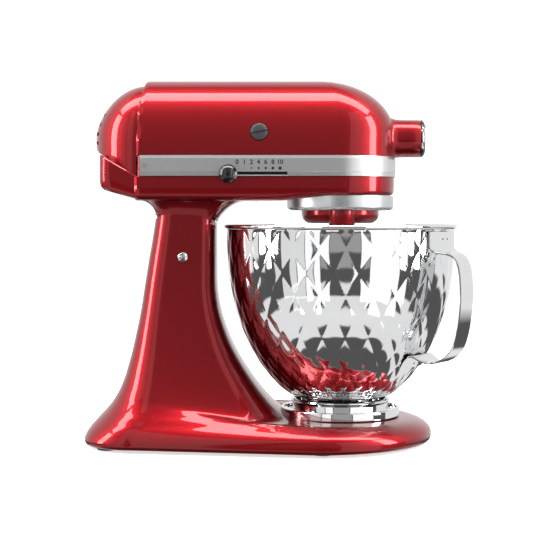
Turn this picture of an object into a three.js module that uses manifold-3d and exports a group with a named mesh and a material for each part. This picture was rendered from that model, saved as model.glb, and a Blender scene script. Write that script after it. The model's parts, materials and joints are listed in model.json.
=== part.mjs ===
// Tilt-head stand mixer. Millimetres, +Z up, +X towards the front.
// Everything is laid out from the bowl axis (x = 0, y = 0) and the table (z = 0), and the finished
// group is then moved along X so that its origin is the middle of the footprint of its bounding box.
import * as THREE from 'three';
import { ParametricGeometry } from 'three/addons/geometries/ParametricGeometry.js';
import { mergeVertices } from 'three/addons/utils/BufferGeometryUtils.js';
import Module from 'manifold-3d';

const wasm = await Module();
wasm.setup();

// ---------------------------------------------------------------- driving dimensions
const gap = 0.3;                    // between pieces that touch
const runningGap = 0.6;             // between pieces that move past each other

const base = {
  front: 89, rear: -246, half: 110, rearHalf: 83, rearRound: 46, noseDepth: 112,
  underside: 3, top: 25.5, wall: 5, plateThickness: 1.6,
};
const footRadius = 11;
const column = { front: -120.7, rear: -180, top: 214, lean: 0.13, half: 39, footHalf: 36, wall: 7 };
const hinge = {
  x: -152, z: 181, pinRadius: 4.4, domeRadius: 4.9, knuckleRadius: 45, seam: 1.5,
  tongueRadius: 24, tongueHalf: 16, armAngle: 66, armWidth: 15, tilt: 45,
};
const lock = {
  radius: 16, angle: 25, pinRadius: 3.4, pinLength: 16, leverAngle: 250, leverLength: 27, bossRadius: 6.5,
  knobRadius: 6.5,
};

const shellFacets = 36;             // sides of the head's outer skin
const head = {
  rear: -197, front: 53, half: 56, floor: 235.5, top: 352, wall: 3.6,
  crownDepth: 73, crownHeight: 52, rearLean: 7, bellyHeight: 22, floorThickness: 7,
};
const splitHeight = 267.6;
const band = { bottom: 257.7, top: 277.5, proud: 1.3, sunk: 1.2, slotEnd: -52.5 };
const neck = { bottom: 208, flareFrom: 216, front: -120, rear: -178, half: 38, frontFlare: 17,
  rearFlare: 13 };
const rearCover = {
  rear: -239.2, middle: 296, height: 50, lowReach: 62, lap: 4.5, wall: 3, ventRows: 5, ventPitch: 9,
    ventHeight: 3.2,
};
const rearBlock = { rear: -231, topRear: 279, topFront: 258 };

const motor = {
  z: 299.5, statorRadius: 39, statorBore: 26, statorRear: -162, statorFront: -108, shaftRadius: 4,
    shaftRear: -214,
  rearBearing: -197, frontBearing: -65, bearingRadius: 10, bearingWidth: 7,
};
const brush = { x: -79, capRadius: 8.25, holderRadius: 5.6, commutatorRadius: 13 };
const hub = { z: 296, radius: 18.3, front: 78.3, bore: 12.5, shaftRadius: 8, socket: 9.6 };
const hubCover = { thickness: 2, depth: 3.9, hingeRise: 10.5, pinRadius: 1, knuckleRadius: 1.9 };
const attachment = { x: 66, screwRadius: 3, knobRadius: 11, knobLength: 11 };
const cordGland = { x: -212, z: 255, radius: 6, bore: 2.6 };
const knob = { radius: 9.2, start: -108, travel: 42, z: 259.8, reach: 75, stemRadius: 1.5 };

const ring = { teeth: 33, outerRadius: 49, top: 244, bottom: 231 };
const planet = { teeth: 9, module: 8 / 3 };
const centre = { teeth: 38, pinionTeeth: 8, module: 2, shaftRadius: 6, z: 262 };
const bevel = { gearRadius: 26, pinionRadius: 13 };
const worm = { teeth: 17, wheelRadius: 18, radius: 7.4 };
const dripRing = { radius: 52, bottom: 225.6, top: 239.4 };
const carrier = { radius: 38, bottom: 213, hubRadius: 13.5 };

const bowl = {
  rim: 212, rimRadius: 114, wallRadius: 111, straightTop: 207.5, wall: 1.5, foot: 43, footRadius: 51,
    neckRadius: 47,
};
const handle = {
  angle: -33, reach: 137, width: 26.5, thick: 2.4, top: 196, bottom: 84, padArc: 28, padHeight: 17,
    padThick: 1.6,
};
const clamp = { radius: 58, thickness: 2.5, lipRadius: 56, lipInner: 51.8, hooks: 3, hookArc: 44 };
const beater = { top: 150, bottom: 55, half: 57, thick: 9, rib: 7, shaftRadius: 6.5, shaftBottom: 178,
  sleeve: 3.6 };

// ---------------------------------------------------------------- sizes that follow from them
const rad = THREE.MathUtils.degToRad;
const planetOffset = (planet.module * (ring.teeth - planet.teeth)) / 2;
const ringPitch = (planet.module * ring.teeth) / 2;
const planetPitch = (planet.module * planet.teeth) / 2;
const centrePitch = (centre.module * centre.teeth) / 2;
const pinionPitch = (centre.module * centre.pinionTeeth) / 2;
const wheelY = worm.radius + worm.wheelRadius + 0.5;
const wheelX = -Math.sqrt((centrePitch + pinionPitch) ** 2 - wheelY ** 2);
const clampTop = base.top + gap + clamp.thickness;
const handleFront = handle.reach * Math.cos(rad(handle.angle)) - (handle.width / 2) * Math.sin(rad(handle.angle));

// ---------------------------------------------------------------- materials
const finish = (color, roughness, metalness) => new THREE.MeshStandardMaterial({ color, roughness,
  metalness });
const redPaint = () => finish(0xa80010, 0.2, 0.45);
const polishedSteel = () => finish(0xd5d7d8, 0.12, 1);
const satinSilver = () => finish(0xb9bbbc, 0.35, 0.9);
const machinedSteel = () => finish(0x9a9da0, 0.4, 0.9);
const blackPlastic = () => finish(0x141414, 0.25, 0);
const greyPlastic = () => finish(0x3d3f42, 0.5, 0);
const rubber = () => finish(0x1d1d1d, 0.85, 0);
const brass = () => finish(0xb5934a, 0.35, 0.9);
const castAlloy = () => finish(0xa9abad, 0.5, 0.8);
const copper = () => finish(0xa5602f, 0.4, 0.8);
const carbon = () => finish(0x2a2a2c, 0.8, 0.1);

// ---------------------------------------------------------------- solids from geometries
function solidOf(geometry) {
  geometry.deleteAttribute('normal');
  geometry.deleteAttribute('uv');
  const merged = mergeVertices(geometry, 1e-4);
  const index = merged.index.array;
  const triangles = [];
  for (let i = 0; i < index.length; i += 3) {
    const [a, b, c] = [index[i], index[i + 1], index[i + 2]];
    if (a !== b && b !== c && c !== a) triangles.push(a, b, c);
  }
  return new wasm.Manifold(new wasm.Mesh({
    numProp: 3,
    vertProperties: new Float32Array(merged.attributes.position.array),
    triVerts: new Uint32Array(triangles),
  }));
}

function geometryOf(solid) {
  const { vertProperties, triVerts } = solid.getMesh();
  const geometry = new THREE.BufferGeometry();
  geometry.setAttribute('position', new THREE.BufferAttribute(vertProperties, 3));
  geometry.setIndex(new THREE.BufferAttribute(triVerts, 1));
  return geometry;
}

const unite = (...solids) => solids.reduce((a, b) => a.add(b));
const cut = (solid, ...tools) => tools.reduce((a, b) => a.subtract(b), solid);

function block(x0, x1, y0, y1, z0, z1) {
  const geometry = new THREE.BoxGeometry(x1 - x0, y1 - y0, z1 - z0);
  geometry.translate((x0 + x1) / 2, (y0 + y1) / 2, (z0 + z1) / 2);
  return solidOf(geometry);
}

// A round bar between two stations along an axis, through the point given in the other two.
function rod(axis, from, to, radius, centreAt, segments = 20, endRadius = radius) {
  const geometry = new THREE.CylinderGeometry(endRadius, radius, to - from, segments);
  geometry.translate(0, (from + to) / 2, 0);
  if (axis === 'z') geometry.rotateX(Math.PI / 2).translate(centreAt[0], centreAt[1], 0);
  if (axis === 'x') geometry.rotateZ(-Math.PI / 2).translate(0, centreAt[0], centreAt[1]);
  if (axis === 'y') geometry.translate(centreAt[0], 0, centreAt[1]);
  return solidOf(geometry);
}

// A turned piece about the Z axis from [radius, height] points; closed rings repeat their first point.
function turned(points, segments = 32, x = 0, y = 0) {
  const geometry = new THREE.LatheGeometry(points.map(([r, z]) => new THREE.Vector2(r, z)), segments);
  geometry.rotateX(Math.PI / 2).translate(x, y, 0);
  return orient(solidOf(geometry));
}

// A turned piece about a line along X, at y and z.
function turnedAlongX(points, y, z, segments = 24) {
  const geometry = new THREE.LatheGeometry(points.map(([r, x]) => new THREE.Vector2(r, x)), segments);
  geometry.rotateZ(-Math.PI / 2).translate(0, y, z);
  return orient(solidOf(geometry));
}

// Turns a solid the right way out when its profile was listed the other way round.
function orient(solid) {
  if (solid.volume() >= 0) return solid;
  const mesh = solid.getMesh();
  const flipped = new Uint32Array(mesh.triVerts).reverse();
  return new wasm.Manifold(new wasm.Mesh({ numProp: 3, vertProperties: mesh.vertProperties,
    triVerts: flipped }));
}

const tubeRing = (inner, outer, low, high) => [[inner, low], [outer, low], [outer, high], [inner, high],
  [inner, low]];

// A shape in the X-Z plane made solid between two Y stations.
function slab(shape, y0, y1, curveSegments = 12) {
  const geometry = new THREE.ExtrudeGeometry(shape, { depth: y1 - y0, bevelEnabled: false, curveSegments });
  geometry.rotateX(Math.PI / 2).translate(0, y1, 0);
  return solidOf(geometry);
}

// A shape in the X-Y plane made solid between two heights.
function plate(shape, z0, z1, curveSegments = 12) {
  const geometry = new THREE.ExtrudeGeometry(shape, { depth: z1 - z0, bevelEnabled: false, curveSegments });
  geometry.translate(0, 0, z0);
  return solidOf(geometry);
}

// A skin over plan outlines at rising levels, closed with flat ends.
function loft(levels, outlineAt, around) {
  const rings = levels.map((level) => outlineAt(level).getSpacedPoints(around));
  const middle = (i) => new THREE.Vector3((levels[i].front + levels[i].rear) / 2, 0, levels[i].z);
  const stacks = levels.length + 1;
  const geometry = new ParametricGeometry((u, v, target) => {
    const row = Math.round(v * stacks);
    if (row === 0) return target.copy(middle(0));
    if (row === stacks) return target.copy(middle(levels.length - 1));
    const point = rings[row - 1][Math.round(u * around) % around];
    return target.set(point.x, point.y, levels[row - 1].z);
  }, around, stacks);
  return orient(solidOf(geometry));
}

// Plan outline with an elliptical nose towards +X and rounded rear corners.
function planOutline({ rear, front, half, rearHalf = half, rearRound, noseDepth }) {
  const shape = new THREE.Shape();
  const round = Math.min(rearRound, rearHalf * 0.95, (front - rear) * 0.45);
  const nose = Math.min(noseDepth, (front - rear) * 0.5);
  shape.moveTo(rear, 0);
  shape.lineTo(rear, -rearHalf + round);
  shape.absarc(rear + round, -rearHalf + round, round, Math.PI, 1.5 * Math.PI);
  shape.lineTo(front - nose, -half);
  shape.absellipse(front - nose, 0, nose, half, -Math.PI / 2, Math.PI / 2);
  shape.lineTo(rear + round, rearHalf);
  shape.absarc(rear + round, rearHalf - round, round, Math.PI / 2, Math.PI);
  shape.lineTo(rear, 0);
  return shape;
}

const root = new THREE.Group();
function add(name, solid, material) {
  const mesh = new THREE.Mesh(geometryOf(solid), material);
  mesh.name = name;
  root.add(mesh);
}

// Superellipse quarter: 1 at share 0 and 0 at share 1.
const quarter = (share, power) => (1 - Math.min(Math.max(share, 0), 1) ** power) ** (1 / power);

// ---------------------------------------------------------------- gears
// Outline of a spur gear about the origin; inward teeth when tip < root.
function gearOutline(teeth, root_, tip, share, phase) {
  const shape = new THREE.Shape();
  const pitch = (2 * Math.PI) / teeth;
  const half = { root: pitch * (share + 0.08), tip: pitch * (share - 0.07) };
  for (let i = 0; i < teeth; i += 1) {
    const at = phase + i * pitch;
    const corners = [[root_, -half.root], [tip, -half.tip], [tip, half.tip], [root_, half.root]];
    corners.forEach(([radius, turn], k) => {
      const point = [radius * Math.cos(at + turn), radius * Math.sin(at + turn)];
      if (i === 0 && k === 0) shape.moveTo(...point);
      else shape.lineTo(...point);
    });
  }
  shape.closePath();
  return shape;
}

// ---------------------------------------------------------------- stand
const flare = (z) => Math.exp(-Math.max(z - base.top, 0) / 17);
const wideFlare = (z) => Math.exp(-Math.max(z - base.top, 0) / 40);
const columnHalf = (z) => column.half + column.footHalf * Math.exp(-Math.max(z - base.top, 0) / 44);
const frontSweep = (z) => Math.exp(-((Math.max(z - base.top, 0) / 54) ** 1.6));
const columnHeights = [27, 31, 37, 46, 60, 80, 110, 150, 200, 228];

function columnLevel(z) {
  const low = flare(z);
  const wide = wideFlare(z);
  return {
    z,
    front: column.front + (-clamp.radius - 1.5 - column.front) * frontSweep(z),
    rear: column.rear - (column.top - z) * column.lean - 12 * wide - 17 * low,
    half: columnHalf(z),
    rearRound: 20 + 24 * wide,
    noseDepth: 26 + 22 * wide,
  };
}

function baseLevel(z, inset) {
  return {
    z, front: base.front - inset, rear: base.rear + inset, half: base.half - inset,
    rearHalf: base.rearHalf - inset, rearRound: base.rearRound - inset / 2, noseDepth: base.noseDepth - inset,
  };
}

const baseLevels = [
  [0, 3.5], [5, 0.4], [10, 0], [15, 2.6], [19, 7.5], [21.5, 14], [22.5, 22],
].map(([rise, inset]) => baseLevel(base.underside + rise, inset));

function insetLevel(level, wall, drop) {
  return {
    ...level, z: level.z - drop, front: level.front - wall, rear: level.rear + wall, half: level.half - wall,
    rearHalf: (level.rearHalf ?? level.half) - wall, rearRound: Math.max(level.rearRound - wall, 4),
  };
}

function makeStand() {
  const baseBody = loft(baseLevels, planOutline, 36);
  const columnBody = loft([base.top - 8, ...columnHeights].map(columnLevel), planOutline, 28);
  const knuckle = rod('y', -base.half, base.half, hinge.knuckleRadius, [hinge.x, hinge.z], 40);
  const topZone = block(base.rear, 0, -base.half, base.half, hinge.z, head.floor);
  let body = unite(baseBody, cut(columnBody, cut(topZone, knuckle)));
  const bottomLevel = baseLevel(base.underside - 1, base.wall + 2);
  const hollowLevels = baseLevels.slice(1).map((level) => insetLevel(level, base.wall, base.wall));
  const baseHollow = loft([bottomLevel, ...hollowLevels], planOutline, 20);
  const columnHollow = loft(
    [base.top - 12, 33, 48, 78, 140].map((z) => insetLevel(columnLevel(z), column.wall, 0)),
    planOutline, 16,
  );
  body = cut(body, baseHollow, columnHollow);
  const slotHalf = hinge.tongueHalf + runningGap;
  const pocket = rod('y', -slotHalf, slotHalf, hinge.tongueRadius + runningGap, [hinge.x, hinge.z], 40);
  const mouthWidth = hinge.armWidth + 2 * runningGap;
  const mouth = slab(tongueArm(hinge.armAngle - 1, hinge.armAngle + hinge.tilt + 2, mouthWidth, 70),
    -slotHalf, slotHalf);
  const pinBore = rod('y', -base.half, base.half, hinge.pinRadius + gap, [hinge.x, hinge.z], 20);
  const [lockX, lockZ] = lockPoint(lock.angle);
  const lockBore = rod('y', 0, base.half, lock.pinRadius + gap, [lockX, lockZ], 16);
  const holes = clampScrews().map(([x, y]) => rod('z', base.top - 9, base.top + 2, 2.2 + gap, [x, y], 12));
  return cut(body, pocket, mouth, pinBore, lockBore, ...holes);
}

function lockPoint(angle, radius = lock.radius) {
  return [hinge.x + radius * Math.cos(rad(angle)), hinge.z + radius * Math.sin(rad(angle))];
}

// The wedge swept by the tongue's arm about the hinge between two angles.
function tongueArm(from, to, width, reach) {
  const shape = new THREE.Shape();
  const side = (angle, sign, r) => {
    const a = rad(angle);
    return [hinge.x + r * Math.cos(a) + sign * (width / 2) * Math.sin(a),
      hinge.z + r * Math.sin(a) - sign * (width / 2) * Math.cos(a)];
  };
  shape.moveTo(...side(from, 1, 0));
  shape.lineTo(...side(from, 1, reach));
  for (let angle = from; angle < to; angle += 8) shape.lineTo(...side(angle, 0, reach * 1.15));
  shape.lineTo(...side(to, -1, reach));
  shape.lineTo(...side(to, -1, 0));
  shape.lineTo(hinge.x, hinge.z - 6);
  shape.closePath();
  return shape;
}

function clampScrews() {
  return [90, 210, 330].map((turn) => [38 * Math.cos(rad(turn)), 38 * Math.sin(rad(turn))]);
}

add('stand', makeStand(), redPaint());
const plateLevels = [gap, gap + base.plateThickness].map((rise) => baseLevel(base.underside + rise,
  base.wall + 2));
add('base_plate', loft(plateLevels, planOutline, 20), greyPlastic());
const feet = [[62, 0], [-20, 84], [-20, -84], [-222, 55], [-222, -55]];
feet.forEach(([x, y], i) => {
  add(`foot_${i + 1}`, rod('z', 0, base.underside, footRadius - 1.5, [x, y], 18, footRadius), rubber());
});

// ---------------------------------------------------------------- bowl clamping plate
function arcSector(from, to, inner, outer, z0, z1) {
  const shape = new THREE.Shape();
  shape.absarc(0, 0, outer, rad(from), rad(to));
  shape.absarc(0, 0, inner, rad(to), rad(from), true);
  shape.closePath();
  return plate(shape, z0, z1, 5);
}

function makeClampPlate() {
  const low = base.top + gap;
  const disc = turned(tubeRing(12, clamp.radius, low, clampTop), 28);
  const wallTop = clampTop + 5.6;
  const wall = turned(tubeRing(clamp.lipRadius - 1.2, clamp.radius, low, wallTop), 28);
  const hooks = Array.from({ length: clamp.hooks }, (_, i) => {
    const from = handle.angle + (i * 360) / clamp.hooks - clamp.hookArc / 2;
    return arcSector(from, from + clamp.hookArc, clamp.lipInner, clamp.lipRadius, wallTop - 2, wallTop);
  });
  const holes = clampScrews().map(([x, y]) => rod('z', low - 1, clampTop + 1, 2.2 + gap, [x, y], 12));
  return cut(unite(disc, wall, ...hooks), ...holes);
}

add('clamp_plate', makeClampPlate(), machinedSteel());
clampScrews().forEach(([x, y], i) => {
  const shank = rod('z', base.top - 7, clampTop + 0.5, 2.2, [x, y], 10);
  add(`clamp_screw_${i + 1}`, unite(shank, rod('z', clampTop + gap, clampTop + 1.8, 4.2, [x, y], 12)),
    machinedSteel());
});

// ---------------------------------------------------------------- hinge pin and head lock
const hingeSide = columnHalf(hinge.z);
const domeRadius = hinge.domeRadius;
const domeProfile = [[0, 0], [domeRadius, 0], [domeRadius - 0.2, 1.2], [domeRadius - 2.2, 2.5], [0, 2.8]];
const pinHead = (sign) => turned(domeProfile, 16)
  .rotate([sign > 0 ? -90 : 90, 0, 0])
  .translate([hinge.x, sign * (hingeSide + runningGap), hinge.z]);
add('hinge_pin', unite(rod('y', -hingeSide - 1, hingeSide + 1, hinge.pinRadius, [hinge.x, hinge.z], 20),
  pinHead(1), pinHead(-1)), polishedSteel());

const [lockX, lockZ] = lockPoint(lock.angle);
const lockPinStart = hinge.tongueHalf + runningGap + 0.2;
const lockPinEnd = lockPinStart + lock.pinLength;
add('lock_pin', rod('y', lockPinStart, lockPinEnd, lock.pinRadius, [lockX, lockZ], 14), machinedSteel());

function makeLockLever() {
  const inner = hingeSide + 2 * runningGap;
  const boss = rod('y', inner, inner + 5, lock.bossRadius, [lockX, lockZ], 20);
  const shaft = rod('y', lockPinEnd + gap, inner + 1, lock.pinRadius - 0.2, [lockX, lockZ], 14);
  const tipX = lockX + lock.leverLength * Math.cos(rad(lock.leverAngle));
  const tipZ = lockZ + lock.leverLength * Math.sin(rad(lock.leverAngle));
  const across = (turns) => rad(lock.leverAngle + 90 * turns);
  const arm = new THREE.Shape();
  arm.absarc(lockX, lockZ, lock.bossRadius - 1.5, across(1), across(3));
  arm.absarc(tipX, tipZ, lock.bossRadius - 3, across(3), across(5));
  arm.closePath();
  const grip = new THREE.SphereGeometry(lock.knobRadius, 10, 7);
  grip.translate(tipX, inner + 8, tipZ);
  return unite(boss, shaft, slab(arm, inner + 1, inner + 4, 8), solidOf(grip));
}
add('lock_lever', makeLockLever(), blackPlastic());

// ---------------------------------------------------------------- head shells
const crownWidth = (z) => head.half * quarter((z - band.top) / (head.top - band.top), 2.3);
const bellyWidth = (z) => head.half * (0.72 + 0.28 * quarter((band.bottom - z) / head.bellyHeight, 3.2));
const noseAt = (z) => {
  const middle = head.top - head.crownHeight;
  if (z <= middle) return head.front;
  return head.front - head.crownDepth + head.crownDepth * quarter((z - middle) / head.crownHeight, 2);
};

// The housing's rear edge leans forward towards the top.
function rearEdge(z) {
  const rise = Math.max(z - head.top + head.crownHeight, 0) / head.crownHeight;
  return head.rear + head.rearLean * rise ** 2.2;
}

function headLevel(z, inset = 0) {
  const wide = z > band.top ? crownWidth(z) : z < band.bottom ? bellyWidth(z) : head.half;
  const lift = z < band.bottom ? 9 * (1 - quarter((band.bottom - z) / head.bellyHeight, 2.4)) : 0;
  const half = Math.max(wide - inset, 3);
  return {
    z, rear: rearEdge(z) + inset, front: noseAt(z) - lift - inset, half,
    rearRound: 8, noseDepth: half,
  };
}

const crownHeights = [290, 306, 319, 330, 339, 346, 350, 352];
const bellyHeights = [head.floor, 236.5, 239.5, 244, 250, band.bottom];

function shellSolid(heights, inset, around, top, bottom) {
  const levels = heights.map((z) => {
    const level = headLevel(z, inset);
    if (z >= head.top - 0.01) level.z = top;
    if (z <= head.floor + 0.01) level.z = bottom;
    return level;
  });
  return loft(levels, planOutline, around);
}

// The strip that the trim band fills, cut from both shells.
function bandZone(outer, inner, z0, z1) {
  const sleeve = (inset, low, high) => {
    const level = headLevel((band.bottom + band.top) / 2, inset);
    return loft([{ ...level, z: low }, { ...level, z: high }], planOutline, shellFacets);
  };
  return cut(sleeve(-outer, z0, z1), sleeve(inner, z0 - 1, z1 + 1));
}

// The crown's cross-section, drawn in by an inset, as a passage along X.
function crownTunnel(inset, low, x0, x1) {
  const heights = [low, 285, 305, 320, 332, 341, 347].map((z) => z - (z > low ? inset * 0.4 : 0));
  const side = heights.map((z) => [Math.max(crownWidth(z) - inset, 2), z]);
  const shape = new THREE.Shape();
  [...side, ...side.slice().reverse().map(([y, z]) => [-y, z])]
    .forEach(([y, z], i) => (i ? shape.lineTo(y, z) : shape.moveTo(y, z)));
  shape.closePath();
  const geometry = new THREE.ExtrudeGeometry(shape, { depth: x1 - x0, bevelEnabled: false });
  geometry.rotateX(Math.PI / 2).rotateZ(Math.PI / 2).translate(x0, 0, 0);
  return orient(solidOf(geometry));
}

function hubSolid(radius, x0, x1) {
  return rod('x', x0, x1, radius, [0, hub.z], 32);
}

function makeHeadUpper() {
  const outside = shellSolid([splitHeight, band.top, ...crownHeights], 0, shellFacets, head.top, splitHeight);
  const innerHeights = [splitHeight - 1, 290, 312, 330, 343, 352];
  const inside = shellSolid(innerHeights, head.wall, 20, head.top - head.wall, splitHeight);
  const hubTube = hubSolid(hub.radius, 30, hub.front);
  let shell = cut(outside, inside);
  shell = unite(shell, cut(hubTube, inside));
  const rearOpening = crownTunnel(rearCover.lap + 4, splitHeight - 1, head.rear - 1, head.rear + 8);
  const brushHoles = [-1, 1].map((side) => rod('y', Math.min(side * 20, side * 70),
    Math.max(side * 20, side * 70),
    brush.capRadius + gap, [brush.x, motor.z], 20));
  const knobHole = rod('y', 0, 60, attachment.screwRadius + gap, [attachment.x, hub.z], 16);
  const groove = bandZone(6, band.sunk + gap, band.bottom - gap, band.top + gap);
  return cut(shell, hubSolid(hub.bore, 0, 100), rearOpening, ...brushHoles, knobHole, groove);
}

// ---------------------------------------------------------------- rear cover
const rearRow = (z) => {
  const reach = z > rearCover.middle ? rearCover.height + 1 : rearCover.lowReach;
  return quarter(Math.abs(z - rearCover.middle) / reach, 1.8);
};
function rearLevel(z, inset = 0) {
  const half = Math.max(crownWidth(Math.max(z, band.top)) - rearCover.lap - inset, 2);
  const depth = (head.rear - rearCover.rear) * rearRow(z);
  return {
    z, rear: rearEdge(z) - depth + inset, front: rearEdge(z) + 12, half,
    rearRound: Math.min(half * 0.8, depth * 0.9 + 3), noseDepth: 2,
  };
}

const rearHeights = [255, 268, 282, 298, 313, 326, 336, 343, 347];
function rearCoverSolid(inset, around) {
  return loft(rearHeights.map((z) => {
    const level = rearLevel(z, inset);
    if (z === rearHeights[rearHeights.length - 1]) level.z -= inset;
    return level;
  }), planOutline, around);
}

// Everything behind the main housing that lies above the sloping joint of the rear block.
function rearCoverSpace(clearance) {
  const low = rearBlock.topFront - clearance;
  const slope = (rearBlock.topRear - rearBlock.topFront) / (head.rear - rearBlock.rear);
  const side = new THREE.Shape();
  side.moveTo(head.rear + 14, low);
  side.lineTo(head.rear, low);
  side.lineTo(head.rear - 60, low + 60 * slope);
  side.lineTo(head.rear - 60, head.top + 5);
  side.lineTo(head.rear, head.top + 5);
  side.lineTo(head.rear, head.top - 8);
  side.lineTo(head.rear + 14, head.top - 8);
  side.closePath();
  return slab(side, -head.half + rearCover.lap - 2, head.half - rearCover.lap + 2);
}

function makeRearCover() {
  const skin = cut(rearCoverSolid(0, 24), rearCoverSolid(rearCover.wall, 16));
  const front = new THREE.Shape();
  front.moveTo(head.rear - 60, neck.bottom);
  front.lineTo(head.rear - gap, neck.bottom);
  rearHeights.forEach((z) => front.lineTo(rearEdge(z) - gap, z));
  front.lineTo(rearEdge(head.top) - gap, head.top);
  front.lineTo(head.rear - 60, head.top);
  front.closePath();
  const behind = slab(front, -head.half, head.half);
  const rows = Array.from({ length: rearCover.ventRows }, (_, i) => i - (rearCover.ventRows - 1) / 2);
  const vents = rows.flatMap((row) => [[-21, -4], [4, 21]].map(([y0, y1]) => {
    const middle = motor.z + row * rearCover.ventPitch;
    const half = rearCover.ventHeight / 2;
    return block(head.rear - 60, head.rear - 20, y0, y1, middle - half, middle + half);
  }));
  const upper = rearCoverSpace(0).translate([0, 0, gap]);
  return cut(skin.intersect(behind).intersect(upper), ...vents);
}

add('head_upper', makeHeadUpper(), redPaint());
add('rear_cover', makeRearCover(), redPaint());

// ---------------------------------------------------------------- head lower: gear housing, neck and tongue
function neckLevel(z) {
  const rise = Math.min(Math.max(z - neck.flareFrom, 0) / (head.floor - neck.flareFrom), 1);
  return {
    z,
    rear: neck.rear - 3 * rise - neck.rearFlare * rise ** 4,
    front: neck.front + 11 * rise + neck.frontFlare * rise ** 3,
    half: Math.min(neck.half + 4 * rise + 10 * rise ** 3, bellyWidth(z) + 2),
    rearRound: 16,
    noseDepth: 18 + 12 * rise,
  };
}

function rearBlockLevel(z) {
  const low = quarter((262 - z) / 20, 2.2);
  return { z, rear: rearBlock.rear + 26 * (1 - low), front: head.rear + 10, half: 50 * (0.8 + 0.2 * low),
    rearRound: 16, noseDepth: 2 };
}

function makeHeadLower() {
  const outside = shellSolid([...bellyHeights, splitHeight - gap], 0, shellFacets, head.top, head.floor);
  const blockBody = loft([242, 244, 249, 256, 264, 280].map(rearBlockLevel), planOutline, 24);
  const neckHeights = [neck.bottom, neck.flareFrom, 222, 227, 231, 234, head.floor, head.floor + 8];
  const neckBody = loft(neckHeights.map(neckLevel), planOutline, 28);
  const blockInside = loft([249, 254, 262, 281].map((z) => insetLevel(rearBlockLevel(z), 4, 0)),
    planOutline, 16)
    .intersect(block(-260, head.rear + 4, -80, 80, 200, 300));
  const socket = rod('y', -80, 80, hinge.knuckleRadius + hinge.seam, [hinge.x, hinge.z], 40);
  const floorTop = head.floor + head.floorThickness;
  const inside = shellSolid([head.floor, 242, 250, splitHeight], head.wall, 20, head.top, floorTop);
  const lift = block(-300, 100, -80, 80, 200, floorTop);
  const whole = unite(outside, neckBody, blockBody);
  const hubRoom = hubSolid(hub.radius + gap, 30, 100);
  const body = cut(whole, cut(inside, lift), blockInside, socket, rearCoverSpace(0), hubRoom);
  const tongue = makeTongue();
  const groove = bandZone(6, band.sunk + gap, band.bottom - gap, band.top + gap);
  const gearOpening = rod('z', 200, 260, ring.outerRadius + gap - 4, [0, 0], 36);
  const gearSeat = rod('z', 200, ring.top + gap, ring.outerRadius + gap, [0, 0], 36);
  const knobSlot = block(knob.start - 2, band.slotEnd - 1, -80, -30, knob.z - 2, knob.z + 2);
  const dripSeat = rod('z', 200, dripRing.top + gap, dripRing.radius + gap, [0, 0], 32);
  const glandHole = rod('y', 20, 70, cordGland.radius + gap, [cordGland.x, cordGland.z], 20);
  return cut(unite(body, tongue), gearOpening, gearSeat, dripSeat, knobSlot, glandHole, groove);
}

function makeTongue() {
  const disc = rod('y', -hinge.tongueHalf, hinge.tongueHalf, hinge.tongueRadius, [hinge.x, hinge.z], 36);
  const arm = new THREE.Shape();
  const a = rad(hinge.armAngle);
  const across = [(hinge.armWidth / 2) * Math.sin(a), (-hinge.armWidth / 2) * Math.cos(a)];
  const reach = 58;
  const end = [hinge.x + reach * Math.cos(a), hinge.z + reach * Math.sin(a)];
  arm.moveTo(hinge.x + across[0], hinge.z + across[1]);
  arm.lineTo(end[0] + across[0], end[1] + across[1]);
  arm.lineTo(end[0] - across[0], end[1] - across[1]);
  arm.lineTo(hinge.x - across[0], hinge.z - across[1]);
  arm.closePath();
  const bores = [[hinge.x, hinge.z, hinge.pinRadius],
    [...lockPoint(lock.angle), lock.pinRadius], [...lockPoint(lock.angle - hinge.tilt), lock.pinRadius]];
  return cut(unite(disc, slab(arm, -hinge.tongueHalf, hinge.tongueHalf)),
    ...bores.map(([x, z, r]) => rod('y', -40, 40, r + gap, [x, z], 18)));
}

add('head_lower', makeHeadLower(), redPaint());

// ---------------------------------------------------------------- trim band
function makeBand() {
  const low = band.bottom;
  const high = band.top;
  const strip = bandZone(band.proud, band.sunk, low, high);
  const behind = block(-400, head.rear + 5, -90, 90, 200, 400);
  const slot = block(knob.start - 3, band.slotEnd, -90, 0, low + 0.2, knob.z + 2.1);
  const screwHole = rod('y', -90, -30, 1.5 + gap, [head.rear + 10, (low + high) / 2], 12);
  return cut(strip, behind, slot, screwHole);
}
add('trim_band', makeBand(), satinSilver());
const bandY = head.half + band.proud;
add('band_screw', unite(
  rod('y', -bandY - 0.9, -bandY - gap + 0.1, 2.6, [head.rear + 10, (band.bottom + band.top) / 2], 14),
  rod('y', -bandY - 0.5, -head.half + band.sunk + 0.1, 1.5, [head.rear + 10,
    (band.bottom + band.top) / 2], 10),
), machinedSteel());

// ---------------------------------------------------------------- speed control
function makeKnob() {
  const outer = -knob.reach;
  const ball = new THREE.SphereGeometry(knob.radius, 14, 9);
  ball.scale(1, 0.86, 1).translate(knob.start, outer + knob.radius * 0.86, knob.z);
  const stem = rod('y', outer + knob.radius, -head.half + 12, knob.stemRadius, [knob.start, knob.z], 12);
  return unite(solidOf(ball), stem);
}
add('speed_knob', makeKnob(), blackPlastic());
add('speed_link', block(knob.start - 62, knob.start + 4, -head.half + 12.3, -head.half + 14.3,
  knob.z - 4, knob.z + 4), machinedSteel());

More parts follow.
